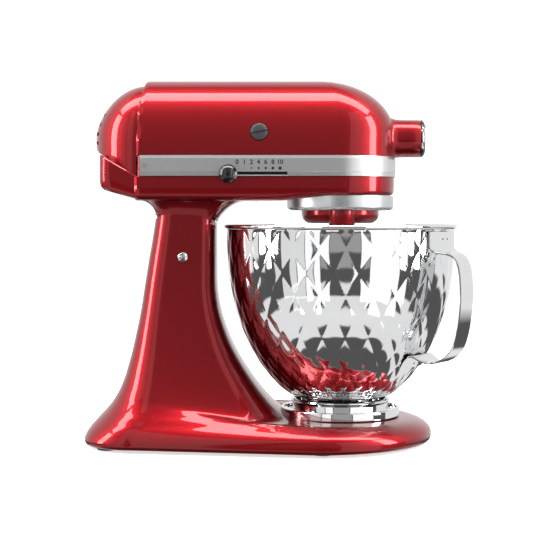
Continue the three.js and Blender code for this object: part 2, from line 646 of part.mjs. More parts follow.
// ---------------------------------------------------------------- attachment hub
function makeHubShaft() {
  const apex = hub.z;
  const cone = turnedAlongX([[0, 8], [bevel.pinionRadius * 0.5, 8], [bevel.pinionRadius - 3.5, 17],
    [bevel.pinionRadius - 0.8, 22.5], [bevel.pinionRadius - 3, 26], [0, 26]], 0, apex, 24);
  const shaft = rod('x', 25, 60, hub.shaftRadius, [0, apex], 24);
  const socket = block(40, 61, -hub.socket / 2, hub.socket / 2, apex - hub.socket / 2, apex + hub.socket / 2);
  return cut(unite(cone, shaft), socket);
}
add('hub_shaft', makeHubShaft(), machinedSteel());
add('hub_bearing', turnedAlongX(tubeRing(hub.shaftRadius + gap, hub.bore - gap, 48, 58), 0, hub.z, 24),
  brass());

const coverPinZ = hub.z + hubCover.hingeRise;
const coverPinX = hub.front + gap + hubCover.depth - 1.2;
const coverX = hub.front + gap + hubCover.depth - hubCover.thickness;
function makeHubRim() {
  const body = turnedAlongX([[hub.bore, hub.front + gap], [hub.radius, hub.front + gap],
    [hub.radius, hub.front + 2.2], [hub.radius - 1.4, hub.front + gap + hubCover.depth],
    [hub.bore, hub.front + gap + hubCover.depth], [hub.bore, hub.front + gap]], 0, hub.z, 32);
  const room = hubCover.knuckleRadius + runningGap;
  const knuckleRoom = block(hub.front - 1, 90, -hub.bore, hub.bore, coverPinZ - room, coverPinZ + room);
  const pinHole = rod('y', -20, 20, hubCover.pinRadius + gap, [coverPinX, coverPinZ], 12);
  return cut(body, knuckleRoom, pinHole);
}
add('hub_rim', makeHubRim(), greyPlastic());

function makeHubCover() {
  const disc = rod('x', coverX, coverX + hubCover.thickness, hub.bore - gap, [0, hub.z], 32);
  const above = block(60, 100, -30, 30, coverPinZ, 340);
  const knuckle = rod('y', -9.5, 9.5, hubCover.knuckleRadius, [coverPinX, coverPinZ], 16);
  const pinHole = rod('y', -30, 30, hubCover.pinRadius + gap, [coverPinX, coverPinZ], 12);
  return cut(unite(cut(disc, above), knuckle), pinHole);
}
add('hub_cover', makeHubCover(), polishedSteel());
add('hub_cover_pin', rod('y', -14.5, 14.5, hubCover.pinRadius, [coverPinX, coverPinZ], 10), machinedSteel());

function makeAttachmentKnob() {
  const start = hub.radius + runningGap;
  const grip = gearOutline(10, attachment.knobRadius - 1.2, attachment.knobRadius, 0.25, 0);
  const geometry = new THREE.ExtrudeGeometry(grip, { depth: attachment.knobLength, bevelEnabled: false });
  geometry.rotateX(-Math.PI / 2).translate(attachment.x, start, hub.z);
  const screw = rod('y', hub.bore + 0.8, start + 1, attachment.screwRadius, [attachment.x, hub.z], 14);
  return unite(solidOf(geometry), screw);
}
add('attachment_knob', makeAttachmentKnob(), blackPlastic());

// ---------------------------------------------------------------- motor
const roundMotor = (profile, sides) => turnedAlongX(profile, 0, motor.z, sides);
const statorEnds = [motor.statorRear, motor.statorFront];
add('stator', roundMotor(tubeRing(motor.statorBore, motor.statorRadius, ...statorEnds), 28), machinedSteel());
const coil = (x0) => roundMotor(tubeRing(motor.statorBore + 2, motor.statorRadius - 3, x0, x0 + 7.2), 16);
add('field_coil_rear', coil(motor.statorRear - gap - 7.2), copper());
add('field_coil_front', coil(motor.statorFront + gap), copper());

// Worm: a round thread wound on the shaft.
class Helix extends THREE.Curve {
  constructor(radius, x0, x1, turns) {
    super();
    Object.assign(this, { radius, x0, x1, turns });
  }

  getPoint(t, target = new THREE.Vector3()) {
    const turn = 2 * Math.PI * this.turns * t;
    return target.set(this.x0 + (this.x1 - this.x0) * t, this.radius * Math.cos(turn),
      this.radius * Math.sin(turn));
  }
}

function makeArmature() {
  const r = motor.shaftRadius;
  const core = motor.statorBore - 0.7;
  const profile = [[0, motor.shaftRear], [r, motor.shaftRear], [r, motor.statorRear + 2],
    [core, motor.statorRear + 2],
    [core, motor.statorFront - 2], [9, motor.statorFront - 2], [9, brush.x - 11],
      [brush.commutatorRadius, brush.x - 11],
    [brush.commutatorRadius, brush.x + 11], [r, brush.x + 11],
    [r, wheelX - 12], [worm.radius - 2, wheelX - 11], [worm.radius - 2, wheelX + 11], [r, wheelX + 12],
    [r, wheelX + 15], [0, wheelX + 15]];
  const body = roundMotor(profile, 18);
  const section = new THREE.Shape();
  section.absarc(0, 0, 1.3, 0, 2 * Math.PI);
  const path = new Helix(worm.radius - 1.7, wheelX - 9, wheelX + 9, 2);
  const winding = { steps: 16, curveSegments: 2, extrudePath: path, bevelEnabled: false };
  const thread = new THREE.ExtrudeGeometry(section, winding);
  thread.translate(0, 0, motor.z);
  return unite(body, solidOf(thread));
}
add('armature', makeArmature(), machinedSteel());

function makeFan() {
  const disc = roundMotor(tubeRing(motor.shaftRadius + gap, 31, -178, -176), 18);
  const collar = roundMotor(tubeRing(motor.shaftRadius + gap, 8, -184, -176), 12);
  const blades = Array.from({ length: 6 }, (_, i) => block(-184, -176.5, -0.8, 0.8, 7, 31)
    .rotate([(i * 360) / 6, 0, 0]).translate([0, 0, motor.z]));
  return unite(disc, collar, ...blades);
}
add('cooling_fan', makeFan(), greyPlastic());
const weightBore = motor.shaftRadius + gap;
const weightRear = motor.shaftRear + 1;
add('governor', roundMotor([[weightBore, weightRear], [9, weightRear], [14, weightRear + 5],
  [14, weightRear + 8],
  [9, weightRear + 11], [weightBore, weightRear + 11], [weightBore, weightRear]], 20), brass());

for (const [side, x0] of [['rear', motor.rearBearing], ['front', motor.frontBearing]]) {
  const x1 = x0 + motor.bearingWidth;
  add(`motor_bearing_${side}`, roundMotor(tubeRing(motor.shaftRadius + gap, motor.bearingRadius, x0, x1), 14),
    machinedSteel());
  const bracket = block(x0 + 1, x1 - 1, -35, 35, motor.z - 22, motor.z + 22);
  const seat = rod('x', x0 - 5, x1 + 5, motor.bearingRadius + gap, [0, motor.z], 24);
  add(`bearing_bracket_${side}`, cut(bracket, seat), castAlloy());
}

for (const [side, sign] of [['left', 1], ['right', -1]]) {
  const span = (a, b) => [Math.min(sign * a, sign * b), Math.max(sign * a, sign * b)];
  const skin = crownWidth(motor.z);
  const tube = rod('y', ...span(15.5, skin - 4.2), brush.holderRadius, [brush.x, motor.z], 18);
  const bore = rod('y', ...span(0, 90), 3.9, [brush.x, motor.z], 14);
  add(`brush_holder_${side}`, cut(tube, bore), brass());
  const carbonSpan = span(brush.commutatorRadius + runningGap, 32);
  add(`carbon_brush_${side}`, block(brush.x - 2.5, brush.x + 2.5, ...carbonSpan, motor.z - 2.5,
    motor.z + 2.5), carbon());
  const capBody = rod('y', ...span(skin - 3.8, skin + 1.2), brush.capRadius, [brush.x, motor.z], 22);
  const slot = block(-10, 10, ...span(skin, skin + 2), -0.9, 0.9).rotate([0, -12, 0]).translate([brush.x,
    0, motor.z]);
  add(`brush_cap_${side}`, cut(capBody, slot), greyPlastic());
}

// ---------------------------------------------------------------- reduction gears
function makeWormWheel() {
  const place = (solid) => solid.translate([wheelX, wheelY, 0]);
  const wheelTeeth = gearOutline(worm.teeth, worm.wheelRadius - 3, worm.wheelRadius, 0.25, 0);
  const wheel = plate(wheelTeeth, motor.z - 5, motor.z + 5);
  const pinion = plate(gearOutline(centre.pinionTeeth, pinionPitch - 2, pinionPitch + 1.6, 0.2,
    pinionPhase()),
    centre.z, centre.z + 9);
  return place(unite(wheel, pinion, rod('z', centre.z - 5, motor.z + 14, 4, [0, 0], 16)));
}

// Turns the pinion so that the gap between two of its teeth meets a tooth of the centre gear.
function pinionPhase() {
  const towards = Math.atan2(-wheelY, -wheelX);
  const wheelAngle = Math.atan2(wheelY, wheelX);
  const centreStep = (2 * Math.PI) / centre.teeth;
  const offset = (wheelAngle / centreStep) % 1;
  const pinionStep = (2 * Math.PI) / centre.pinionTeeth;
  return towards + pinionStep * (0.5 + offset);
}

add('worm_wheel', makeWormWheel(), brass());
function makeWormBracket() {
  const body = block(wheelX - 12, wheelX + 12, wheelY - 10, wheelY + 14, motor.z + 6.5, motor.z + 12);
  return cut(body, rod('z', 200, 400, 4 + gap, [wheelX, wheelY], 20));
}
add('worm_bracket', makeWormBracket(), castAlloy());

function makeCentreGear() {
  const low = centre.z;
  const spur = plate(gearOutline(centre.teeth, centrePitch - 2.3, centrePitch + 1.5, 0.2, 0), low, low + 8);
  const rim = hub.z - bevel.pinionRadius;
  const cone = turned([[0, low + 7], [bevel.gearRadius, low + 7], [bevel.gearRadius - 0.4, rim - 1.6],
    [bevel.gearRadius - 9, rim + 2.6], [0, rim + 2.6]], 28);
  const bore = rod('z', 200, 400, centre.shaftRadius + gap, [0, 0], 20);
  return cut(unite(spur, cone), bore);
}
add('centre_gear', makeCentreGear(), machinedSteel());
add('centre_shaft', rod('z', carrier.bottom + 4, centre.z + 22, centre.shaftRadius, [0, 0], 20),
  machinedSteel());
add('centre_bearing', turned(tubeRing(centre.shaftRadius + gap, 15, ring.top + 6, ring.top + 13), 24),
  machinedSteel());
add('gear_floor', cut(
  rod('z', ring.top + 5.5, ring.top + 13.5, 45, [0, 0], 32),
  rod('z', 200, 300, 15 + gap, [0, 0], 24),
  rod('z', 200, 300, 5.2, [wheelX, wheelY], 16),
), castAlloy());

// ---------------------------------------------------------------- planetary drive
function makeRingGear() {
  const teeth = gearOutline(ring.teeth, ringPitch + 2.6, ringPitch - 1.3, 0.2, ringPhase());
  const disc = new THREE.Shape();
  disc.absarc(0, 0, ring.outerRadius, 0, 2 * Math.PI);
  disc.holes.push(teeth);
  return plate(disc, ring.bottom, ring.top, 16);
}

// A gap between two ring teeth faces the planet pinion's first tooth at -Y.
function ringPhase() {
  return -Math.PI / 2 + Math.PI / ring.teeth;
}
add('ring_gear', makeRingGear(), machinedSteel());

function makeDripRing() {
  const r = dripRing.radius;
  const low = dripRing.bottom;
  return turned([[r - 3.5, low + 1], [r - 2.4, low], [r - 0.9, low + 0.6], [r, low + 2.4], [r, dripRing.top],
    [r - 2.6, dripRing.top], [r - 2.6, low + 3], [r - 3.5, low + 1]], 32);
}
add('drip_ring', makeDripRing(), satinSilver());

function makeCarrier() {
  const low = carrier.bottom;
  const r = carrier.radius;
  const body = turned([[0, low + 1], [r - 9, low + 1], [r - 4, low + 3], [r - 1, low + 7], [r, low + 12],
    [r, ring.bottom - 1], [0, ring.bottom - 1]], 28);
  const boss = rod('z', low - 4, ring.bottom - 1.2, carrier.hubRadius, [0, -planetOffset], 24);
  const trimmed = boss.intersect(rod('z', low - 6, ring.bottom, r + 6.5, [0, 0], 36));
  const shaftBore = rod('z', 200, 250, beater.shaftRadius + gap, [0, -planetOffset], 20);
  const centreBore = rod('z', low + 3.7, 250, centre.shaftRadius + gap, [0, 0], 20);
  const pinBore = rod('x', -r - 1, r + 1, 2 + gap, [0, low + 11], 14);
  return cut(unite(body, trimmed), shaftBore, centreBore, pinBore);
}
add('planetary', makeCarrier(), redPaint());
const carrierPin = rod('x', centre.shaftRadius + gap, carrier.radius - 1, 2, [0, carrier.bottom + 11], 12);
add('planetary_pin', carrierPin, machinedSteel());

function makeBeaterShaft() {
  const pinion = plate(gearOutline(planet.teeth, planetPitch - 2.3, planetPitch + 1.4, 0.2, -Math.PI / 2),
    ring.bottom + 0.5, ring.top - 1).translate([0, -planetOffset, 0]);
  return unite(rod('z', beater.shaftBottom, ring.top - 0.5, beater.shaftRadius, [0, -planetOffset], 18),
    pinion);
}
add('beater_shaft', makeBeaterShaft(), machinedSteel());

function makeBeater() {
  const { half: wide, bottom: low, top: high, rib } = beater;
  const outline = new THREE.Shape();
  const flank = [[0.2, low], [18, low + 4], [wide - 21, low + 24], [wide - 7, low + 46], [wide, low + 72],
    [wide - 2, high - 7], [wide - 14, high + 6], [16, high + 14], [0.2, high + 15]];
  const both = [...flank, ...flank.slice().reverse().map(([x, z]) => [-x, z])];
  both.forEach(([x, z], i) => (i ? outline.lineTo(x, z) : outline.moveTo(x, z)));
  outline.closePath();
  const open = [[0, low + rib + 2], [15, low + rib + 5], [wide - 21 - rib, low + 28],
    [wide - 8 - rib, low + 49],
    [wide - 1 - rib, low + 73], [wide - 3 - rib, high - 11], [wide - 20, high - 2], [0, high + 3]];
  for (const side of [-1, 1]) {
    const hole = new THREE.Path();
    open.forEach(([x, z], i) => {
      const across = side * Math.max(x, rib / 2);
      if (i === 0) hole.moveTo(across, z);
      else hole.lineTo(across, z);
    });
    hole.closePath();
    outline.holes.push(hole);
  }
  const frame = slab(outline, -planetOffset - beater.thick / 2, -planetOffset + beater.thick / 2, 4);
  const bars = [low + 52, low + 74].map((z) => slab(barShape(z), -planetOffset - 3, -planetOffset + 3));
  const sleeveTop = beater.shaftBottom + 21;
  const socket = rod('z', high + 8, sleeveTop, beater.shaftRadius + beater.sleeve, [0, -planetOffset], 22);
  const bore = rod('z', beater.shaftBottom - 6, sleeveTop + 20, beater.shaftRadius + gap,
    [0, -planetOffset], 18);
  return cut(unite(frame, ...bars, socket), bore);
}

function barShape(z) {
  const reach = beater.half - 4 - Math.max(0, (beater.bottom + 72 - z) * 0.4);
  const shape = new THREE.Shape();
  shape.moveTo(-reach, z + 8);
  shape.lineTo(0, z - 4);
  shape.lineTo(reach, z + 8);
  shape.lineTo(reach, z + 13);
  shape.lineTo(0, z + 2);
  shape.lineTo(-reach, z + 13);
  shape.closePath();
  return shape;
}
add('flat_beater', makeBeater(), castAlloy());

// ---------------------------------------------------------------- cord gland
const glandProfile = [[cordGland.bore, 44], [cordGland.radius, 44], [cordGland.radius, 50],
  [cordGland.radius + 1.5, 50.4],
  [cordGland.radius - 1.6, 56], [cordGland.bore, 56], [cordGland.bore, 44]];
const gland = turnedAlongX(glandProfile, 0, 0, 18).rotate([0, 0, 90]).translate([cordGland.x, 0,
  cordGland.z]);
add('cord_gland', gland, rubber());

// ---------------------------------------------------------------- bowl
const bowlFloor = bowl.foot + 2.2;

// The bowl's outer radius: widening fast from the foot and upright at the top.
function bowlRadiusAt(z) {
  const rise = Math.min(Math.max((z - bowlFloor) / (bowl.straightTop - bowlFloor), 0), 1);
  return bowl.neckRadius + (bowl.wallRadius - bowl.neckRadius) * (1 - (1 - rise) ** 2.4) ** 0.78;
}

const wallHeights = [0, 0.035, 0.09, 0.17, 0.28, 0.42, 0.57, 0.73, 0.87, 1]
  .map((share) => bowlFloor + share * (bowl.straightTop - bowlFloor));
const bowlProfile = [[0, bowl.foot], [30, bowl.foot + 0.2], ...wallHeights.map((z) => [bowlRadiusAt(z), z])];

function makeBowl() {
  const inner = bowlProfile.map(([r, z], i) => [Math.max(r - bowl.wall, 0),
    z + bowl.wall * Math.max(0, 1 - i * 0.14)]);
  const r = bowl.rimRadius;
  const rim = [[bowl.wallRadius + 0.2, bowl.rim - 3.6], [r - 0.6, bowl.rim - 3.6], [r, bowl.rim - 1.8],
    [r - 1, bowl.rim],
    [r - 3.4, bowl.rim], [bowl.wallRadius - bowl.wall, bowl.rim - 2]];
  return turned([...bowlProfile, ...rim, ...inner.reverse()], 32);
}
add('bowl', makeBowl(), polishedSteel());

function makeBowlFoot() {
  const low = clampTop + gap;
  const high = bowl.foot - gap;
  const neckR = bowl.neckRadius;
  const flange = bowl.footRadius - 0.6;
  const profile = [[neckR - 2, low], [flange, low], [flange, low + 2.2], [neckR + 0.5, low + 4],
    [neckR, high - 4],
    [neckR + 2, high - 2.6], [neckR + 2, high - 1], [neckR + 0.4, high], [neckR - 2, high], [neckR - 2, low]];
  const ringBody = turned(profile, 30);
  const lugs = Array.from({ length: clamp.hooks }, (_, i) => {
    const from = handle.angle + (i * 360) / clamp.hooks - 14;
    return arcSector(from, from + 28, bowl.footRadius - 2, clamp.lipRadius - 1.2 - runningGap, low,
      low + 2.4);
  });
  return unite(ringBody, ...lugs);
}
add('bowl_foot', makeBowlFoot(), polishedSteel());

// A curved pad of the handle lying on the bowl's wall between two heights.
function handlePad(low, high) {
  const skin = (z) => bowlRadiusAt(z) + 1.6 * gap;
  const levels = [low, (low + high) / 2, high];
  const profile = [...levels.map((z) => [skin(z) + handle.padThick, z]),
    ...levels.reverse().map((z) => [skin(z), z])];
  const wedge = arcSector(handle.angle - handle.padArc / 2, handle.angle + handle.padArc / 2, 20, 140,
    low - 1, high + 1);
  return turned([...profile, profile[0]], 48).intersect(wedge);
}

// The handle is a flat strap bent in one plane, made flat on the X-Z plane and turned about the bowl
// axis, with a
// curved pad at each end.
function makeHandle() {
  const t = handle.thick;
  const r = handle.reach - t;
  const half = handle.width / 2;
  const onBowl = (z) => [bowlRadiusAt(z) + 1.6 * gap, z];
  const edge = [onBowl(handle.top + 10), onBowl(handle.top - 7), [r - 14, handle.top - 9],
    [r - 6, handle.top - 14],
    [r - 1.5, handle.top - 26], [r, handle.top - 48], [r - 3, handle.bottom + 32],
      [r - 9, handle.bottom + 14],
    [r - 19, handle.bottom + 2], [r - 33, handle.bottom - 4], onBowl(handle.bottom + 4),
      onBowl(handle.bottom - 7)];
  const back = edge.map(([x, z], i) => {
    const before = edge[Math.max(i - 1, 0)];
    const after = edge[Math.min(i + 1, edge.length - 1)];
    const along = new THREE.Vector2(after[0] - before[0], after[1] - before[1]).normalize();
    return [x - along.y * t, z + along.x * t];
  });
  const shape = new THREE.Shape();
  [...edge, ...back.reverse()].forEach(([x, z], i) => (i ? shape.lineTo(x, z) : shape.moveTo(x, z)));
  shape.closePath();
  const strap = slab(shape, -half, half).rotate([0, 0, handle.angle]);
  const skin = turned([...bowlProfile, [0, bowl.straightTop], [0, bowl.foot]], 48);
  const upperPad = handlePad(handle.top + 10 - handle.padHeight, handle.top + 10);
  const lowerPad = handlePad(handle.bottom - 7, handle.bottom - 7 + handle.padHeight);
  return cut(unite(strap, upperPad, lowerPad), skin);
}
add('bowl_handle', makeHandle(), polishedSteel());

root.position.x = -(base.rear + handleFront) / 2;

export default root;
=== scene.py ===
"""Looks for the tilt-head stand mixer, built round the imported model.

Sizes are in millimetres from the bowl's axis and the table. place() turns them into metres in the
model's frame."""
import json
import math

import bmesh
import bpy
import numpy as np
from mathutils import Matrix, Vector


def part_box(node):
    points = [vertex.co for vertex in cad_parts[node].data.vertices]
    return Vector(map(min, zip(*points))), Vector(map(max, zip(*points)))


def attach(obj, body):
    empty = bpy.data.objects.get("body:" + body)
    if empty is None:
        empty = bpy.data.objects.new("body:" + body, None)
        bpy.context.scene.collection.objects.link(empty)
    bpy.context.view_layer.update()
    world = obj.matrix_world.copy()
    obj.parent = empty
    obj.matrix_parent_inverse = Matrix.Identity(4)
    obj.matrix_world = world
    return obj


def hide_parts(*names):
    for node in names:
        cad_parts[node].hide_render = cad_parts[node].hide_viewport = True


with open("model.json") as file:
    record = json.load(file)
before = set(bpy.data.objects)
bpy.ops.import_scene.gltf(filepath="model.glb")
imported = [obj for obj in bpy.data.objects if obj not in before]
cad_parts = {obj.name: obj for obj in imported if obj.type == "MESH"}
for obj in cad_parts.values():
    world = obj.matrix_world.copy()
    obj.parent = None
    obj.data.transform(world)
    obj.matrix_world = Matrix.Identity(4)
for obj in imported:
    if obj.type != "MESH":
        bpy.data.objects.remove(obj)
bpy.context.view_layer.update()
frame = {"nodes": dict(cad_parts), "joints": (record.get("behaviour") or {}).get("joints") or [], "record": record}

MM = 0.001
BOWL_LO, BOWL_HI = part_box("bowl")
AXIS_X = (BOWL_LO.x + BOWL_HI.x) / 2
RED, STEEL, SILVER, MACHINED = "red_paint", "polished_steel", "satin_silver", "machined_steel"
BLACK, GREY, RUBBER, ALLOY = "black_plastic", "grey_plastic", "rubber", "cast_alloy"

# ------------------------------------------------------------------ driving sizes, from the frame
HEAD_LO, HEAD_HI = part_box("head_upper")
BAND_LO, BAND_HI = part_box("trim_band")
CAP_LO, CAP_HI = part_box("brush_cap_right")
KNOB_LO, KNOB_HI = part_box("speed_knob")
RIM_LO, RIM_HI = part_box("hub_rim")
DRIP_LO, DRIP_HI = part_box("drip_ring")
REAR_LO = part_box("rear_cover")[0]


def local(point):
    """A frame point in metres as millimetres from the bowl's axis."""
    return Vector(((point[0] - AXIS_X) / MM, point[1] / MM, point[2] / MM))


def place(x, y, z):
    return (AXIS_X + x * MM, y * MM, z * MM)


HINGE_X, HINGE_Z = (local((frame["joints"][0]["pos_m"]))[k] for k in (0, 2))
BAND_BOTTOM, BAND_TOP = local(BAND_LO).z, local(BAND_HI).z
HEAD_TOP = local(HEAD_HI).z
HEAD_REAR, HEAD_FRONT = local(HEAD_LO).x, 53.0
HEAD_HALF = 56.0
HUB_Z = (local(RIM_LO).z + local(RIM_HI).z) / 2
HUB_FRONT = local(RIM_LO).x - 0.3
HUB_RADIUS = (local(RIM_HI).z - local(RIM_LO).z) / 2
SPLIT_Z = 267.4
LOCK_RADIUS, LOCK_ANGLE, TILT = 16, 25, 45


def lock_point(angle):
    """A point on the circle of the lock pin about the hinge, at an angle in degrees."""
    turn = math.radians(angle)
    return HINGE_X + LOCK_RADIUS * math.cos(turn), HINGE_Z + LOCK_RADIUS * math.sin(turn)


# ------------------------------------------------------------------ materials
def new_material(name, **values):
    material = bpy.data.materials.new(name)
    material.use_nodes = True
    shader = material.node_tree.nodes["Principled BSDF"]
    for key, value in values.items():
        shader.inputs[key.replace("_", " ")].default_value = value
    return material, material.node_tree, shader


def coordinates(tree, scale):
    source = tree.nodes.new("ShaderNodeTexCoord")
    mapping = tree.nodes.new("ShaderNodeMapping")
    mapping.inputs["Scale"].default_value = scale
    tree.links.new(source.outputs["Object"], mapping.inputs["Vector"])
    return mapping.outputs["Vector"]


def noise(tree, scale, detail=2.0, stretch=(1, 1, 1), rough=0.5):
    node = tree.nodes.new("ShaderNodeTexNoise")
    node.inputs["Scale"].default_value = scale
    node.inputs["Detail"].default_value = detail
    node.inputs["Roughness"].default_value = rough
    tree.links.new(coordinates(tree, stretch), node.inputs["Vector"])
    return node.outputs["Fac"]


def ramp(tree, fac, low, high, start=0.3, end=0.7):
    node = tree.nodes.new("ShaderNodeValToRGB")
    node.color_ramp.elements[0].position = start
    node.color_ramp.elements[1].position = end
    node.color_ramp.elements[0].color = low
    node.color_ramp.elements[1].color = high
    tree.links.new(fac, node.inputs["Fac"])
    return node.outputs["Color"]


def levels(tree, fac, low, high):
    node = tree.nodes.new("ShaderNodeMapRange")
    node.inputs["To Min"].default_value = low
    node.inputs["To Max"].default_value = high
    tree.links.new(fac, node.inputs["Value"])
    return node.outputs["Result"]


def bump(tree, shader, height, strength, distance):
    node = tree.nodes.new("ShaderNodeBump")
    node.inputs["Strength"].default_value = strength
    node.inputs["Distance"].default_value = distance
    tree.links.new(height, node.inputs["Height"])
    tree.links.new(node.outputs["Normal"], shader.inputs["Normal"])


def red_paint():
    """Candy red: a metallic base with fine flakes under a clear coat with a trace of orange peel."""
    material, tree, shader = new_material(
        "candy_red", Metallic=0.85, Coat_Weight=1.0, Coat_Roughness=0.015, Coat_IOR=1.34
    )
    flakes = tree.nodes.new("ShaderNodeTexVoronoi")
    flakes.inputs["Scale"].default_value = 2600
    tree.links.new(coordinates(tree, (1, 1, 1)), flakes.inputs["Vector"])
    colour = ramp(tree, flakes.outputs["Color"], (0.2, 0.0, 0.003, 1), (0.29, 0.0002, 0.005, 1), 0.1, 0.9)
    tree.links.new(colour, shader.inputs["Base Color"])
    tree.links.new(levels(tree, flakes.outputs["Distance"], 0.34, 0.46), shader.inputs["Roughness"])
    bump(tree, shader, noise(tree, 90, 1.0), 0.04, 0.0004)
    return material


def polished_steel(name="mirror_steel", rough=(0.035, 0.09), colour=(0.83, 0.835, 0.84, 1)):
    """Mirror steel with a faint polishing haze."""
    material, tree, shader = new_material(name, Metallic=1.0)
    haze = noise(tree, 14, 3.0, (1, 1, 3))
    dim = tuple(0.94 * c for c in colour[:3]) + (1,)
    tree.links.new(ramp(tree, haze, dim, colour), shader.inputs["Base Color"])
    tree.links.new(levels(tree, haze, *rough), shader.inputs["Roughness"])
    return material


def brushed(name, colour, rough, stretch, metallic=1.0, depth=0.00004):
    """Metal with a fine directional grain."""
    material, tree, shader = new_material(name, Metallic=metallic)
    grain = noise(tree, 400, 3.0, stretch)
    low = tuple(0.86 * c for c in colour[:3]) + (1,)
    tree.links.new(ramp(tree, grain, low, colour), shader.inputs["Base Color"])
    tree.links.new(levels(tree, grain, rough - 0.06, rough + 0.06), shader.inputs["Roughness"])
    bump(tree, shader, grain, 0.25, depth)
    return material


def moulded(name, colour, rough, grain_scale=900, strength=0.12, coat=0.0):
    """Moulded plastic or rubber with a fine grain."""
    material, tree, shader = new_material(name, Coat_Weight=coat, Coat_Roughness=0.05)
    grain = noise(tree, grain_scale, 2.0)
    high = tuple(min(1.0, 1.25 * c + 0.002) for c in colour[:3]) + (1,)
    tree.links.new(ramp(tree, grain, colour, high), shader.inputs["Base Color"])
    tree.links.new(levels(tree, grain, rough - 0.04, rough + 0.05), shader.inputs["Roughness"])
    bump(tree, shader, grain, strength, 0.0001)
    return material


PAINT = red_paint()
MATERIALS = {
    RED: PAINT,
    STEEL: polished_steel(),
    SILVER: brushed("satin_silver_metal", (0.66, 0.665, 0.67, 1), 0.34, (1, 1, 12)),
    MACHINED: brushed("machined_metal", (0.5, 0.51, 0.52, 1), 0.38, (1, 1, 8)),
    BLACK: moulded("gloss_black", (0.004, 0.004, 0.0045, 1), 0.2, 300, 0.02, 0.15),
    GREY: moulded("grey_moulding", (0.035, 0.037, 0.04, 1), 0.42),
    RUBBER: moulded("matt_rubber", (0.012, 0.012, 0.012, 1), 0.75),
    ALLOY: brushed("cast_alloy_metal", (0.55, 0.555, 0.56, 1), 0.42, (1, 1, 1), 1.0, 0.0002),
    "brass": brushed("turned_brass", (0.6, 0.43, 0.17, 1), 0.32, (1, 1, 10)),
    "copper": brushed("wound_copper", (0.5, 0.2, 0.08, 1), 0.35, (30, 1, 1), 1.0, 0.0004),
    "carbon": moulded("graphite", (0.02, 0.02, 0.022, 1), 0.6),
}
INK = moulded("printed_ink", (0.01, 0.01, 0.011, 1), 0.5)
# Near-black matt material for the painted shade inside the speed slot.
DARK = moulded("slot_shadow", (0.002, 0.002, 0.002, 1), 0.85)


# ------------------------------------------------------------------ mesh helpers
def make_object(name, points, faces, material, angle=32):
    mesh = bpy.data.meshes.new(name)
    mesh.from_pydata([place(*p) for p in points], [], faces)
    mesh.validate()
    piece = bpy.data.objects.new(name, mesh)
    bpy.context.scene.collection.objects.link(piece)
    tidy_normals(piece)
    piece.data.materials.append(material)
    shade(piece, angle)
    return piece


def tidy_normals(piece):
    edit = bmesh.new()
    edit.from_mesh(piece.data)
    bmesh.ops.remove_doubles(edit, verts=edit.verts, dist=1e-6)
    bmesh.ops.recalc_face_normals(edit, faces=edit.faces)
    edit.to_mesh(piece.data)
    edit.free()


def shade(piece, angle=32):
    piece.data.polygons.foreach_set("use_smooth", [True] * len(piece.data.polygons))
    piece.data.set_sharp_from_angle(angle=math.radians(angle))


def apply_all(piece):
    bpy.context.view_layer.update()
    depsgraph = bpy.context.evaluated_depsgraph_get()
    mesh = bpy.data.meshes.new_from_object(piece.evaluated_get(depsgraph))
    piece.modifiers.clear()
    piece.data = mesh


def solidify(piece, thickness, angle=32):
    modifier = piece.modifiers.new("wall", "SOLIDIFY")
    modifier.thickness = thickness * MM
    modifier.offset = -1
    modifier.use_quality_normals = True
    apply_all(piece)
    shade(piece, angle)


def bevel(piece, width, segments=3, angle=32):
    modifier = piece.modifiers.new("edges", "BEVEL")
    modifier.width = width * MM
    modifier.segments = segments
    modifier.limit_method = "ANGLE"
    modifier.angle_limit = math.radians(40)
    modifier.harden_normals = False
    apply_all(piece)
    shade(piece, angle)


def boolean(piece, tool, operation="DIFFERENCE"):
    modifier = piece.modifiers.new("cut", "BOOLEAN")
    modifier.object = tool
    modifier.operation = operation
    modifier.solver = "EXACT"
    apply_all(piece)
    bpy.data.objects.remove(tool)


def dress(piece, body, slot, *nodes):
    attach(piece, body)
    if nodes:
        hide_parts(*nodes)
    return piece


def grid_faces(rows, columns, wrap=True):
    faces = []
    last = columns if wrap else columns - 1
    for r in range(rows - 1):
        for c in range(last):
            d = (c + 1) % columns
            faces.append((r * columns + c, r * columns + d, (r + 1) * columns + d, (r + 1) * columns + c))
    return faces


def pin_profile(radius, low, high):
    """The profile of a plain solid pin, for lathe, lathe_x and lathe_y."""
    return [(0.01, low), (radius, low), (radius, high), (0.01, high)]


def lathe(name, profile, material, segments=96, centre=(0, 0), closed=True, angle=32):
    """A turned piece about a vertical line, from [radius, height] points."""
    turns = np.linspace(0, 2 * math.pi, segments, endpoint=False)
    points = [(centre[0] + r * math.cos(t), centre[1] + r * math.sin(t), z) for r, z in profile
              for t in turns]
    faces = grid_faces(len(profile), segments)
    if max(profile[0][0], profile[-1][0]) <= 0.01:
        faces += [tuple(range(segments)), tuple(range((len(profile) - 1) * segments,
                                                      len(profile) * segments))]
    elif closed:
        first = [(len(profile) - 1) * segments + c for c in range(segments)]
        faces += [(first[c], first[(c + 1) % segments], (c + 1) % segments, c) for c in range(segments)]
    return make_object(name, points, faces, material, angle)


def lathe_x(name, profile, material, y=0.0, z=0.0, segments=72, closed=True, angle=32):
    """A turned piece about a line along X, from [radius, x] points."""
    piece = lathe(name, [(r, x) for r, x in profile], material, segments, closed=closed, angle=angle)
    turn = Matrix.Rotation(math.radians(90), 4, "Y")
    shift = Matrix.Translation(Vector((AXIS_X, 0, 0)))
    piece.data.transform(shift @ Matrix.Translation((0, y * MM, z * MM)) @ turn @ shift.inverted())
    return piece


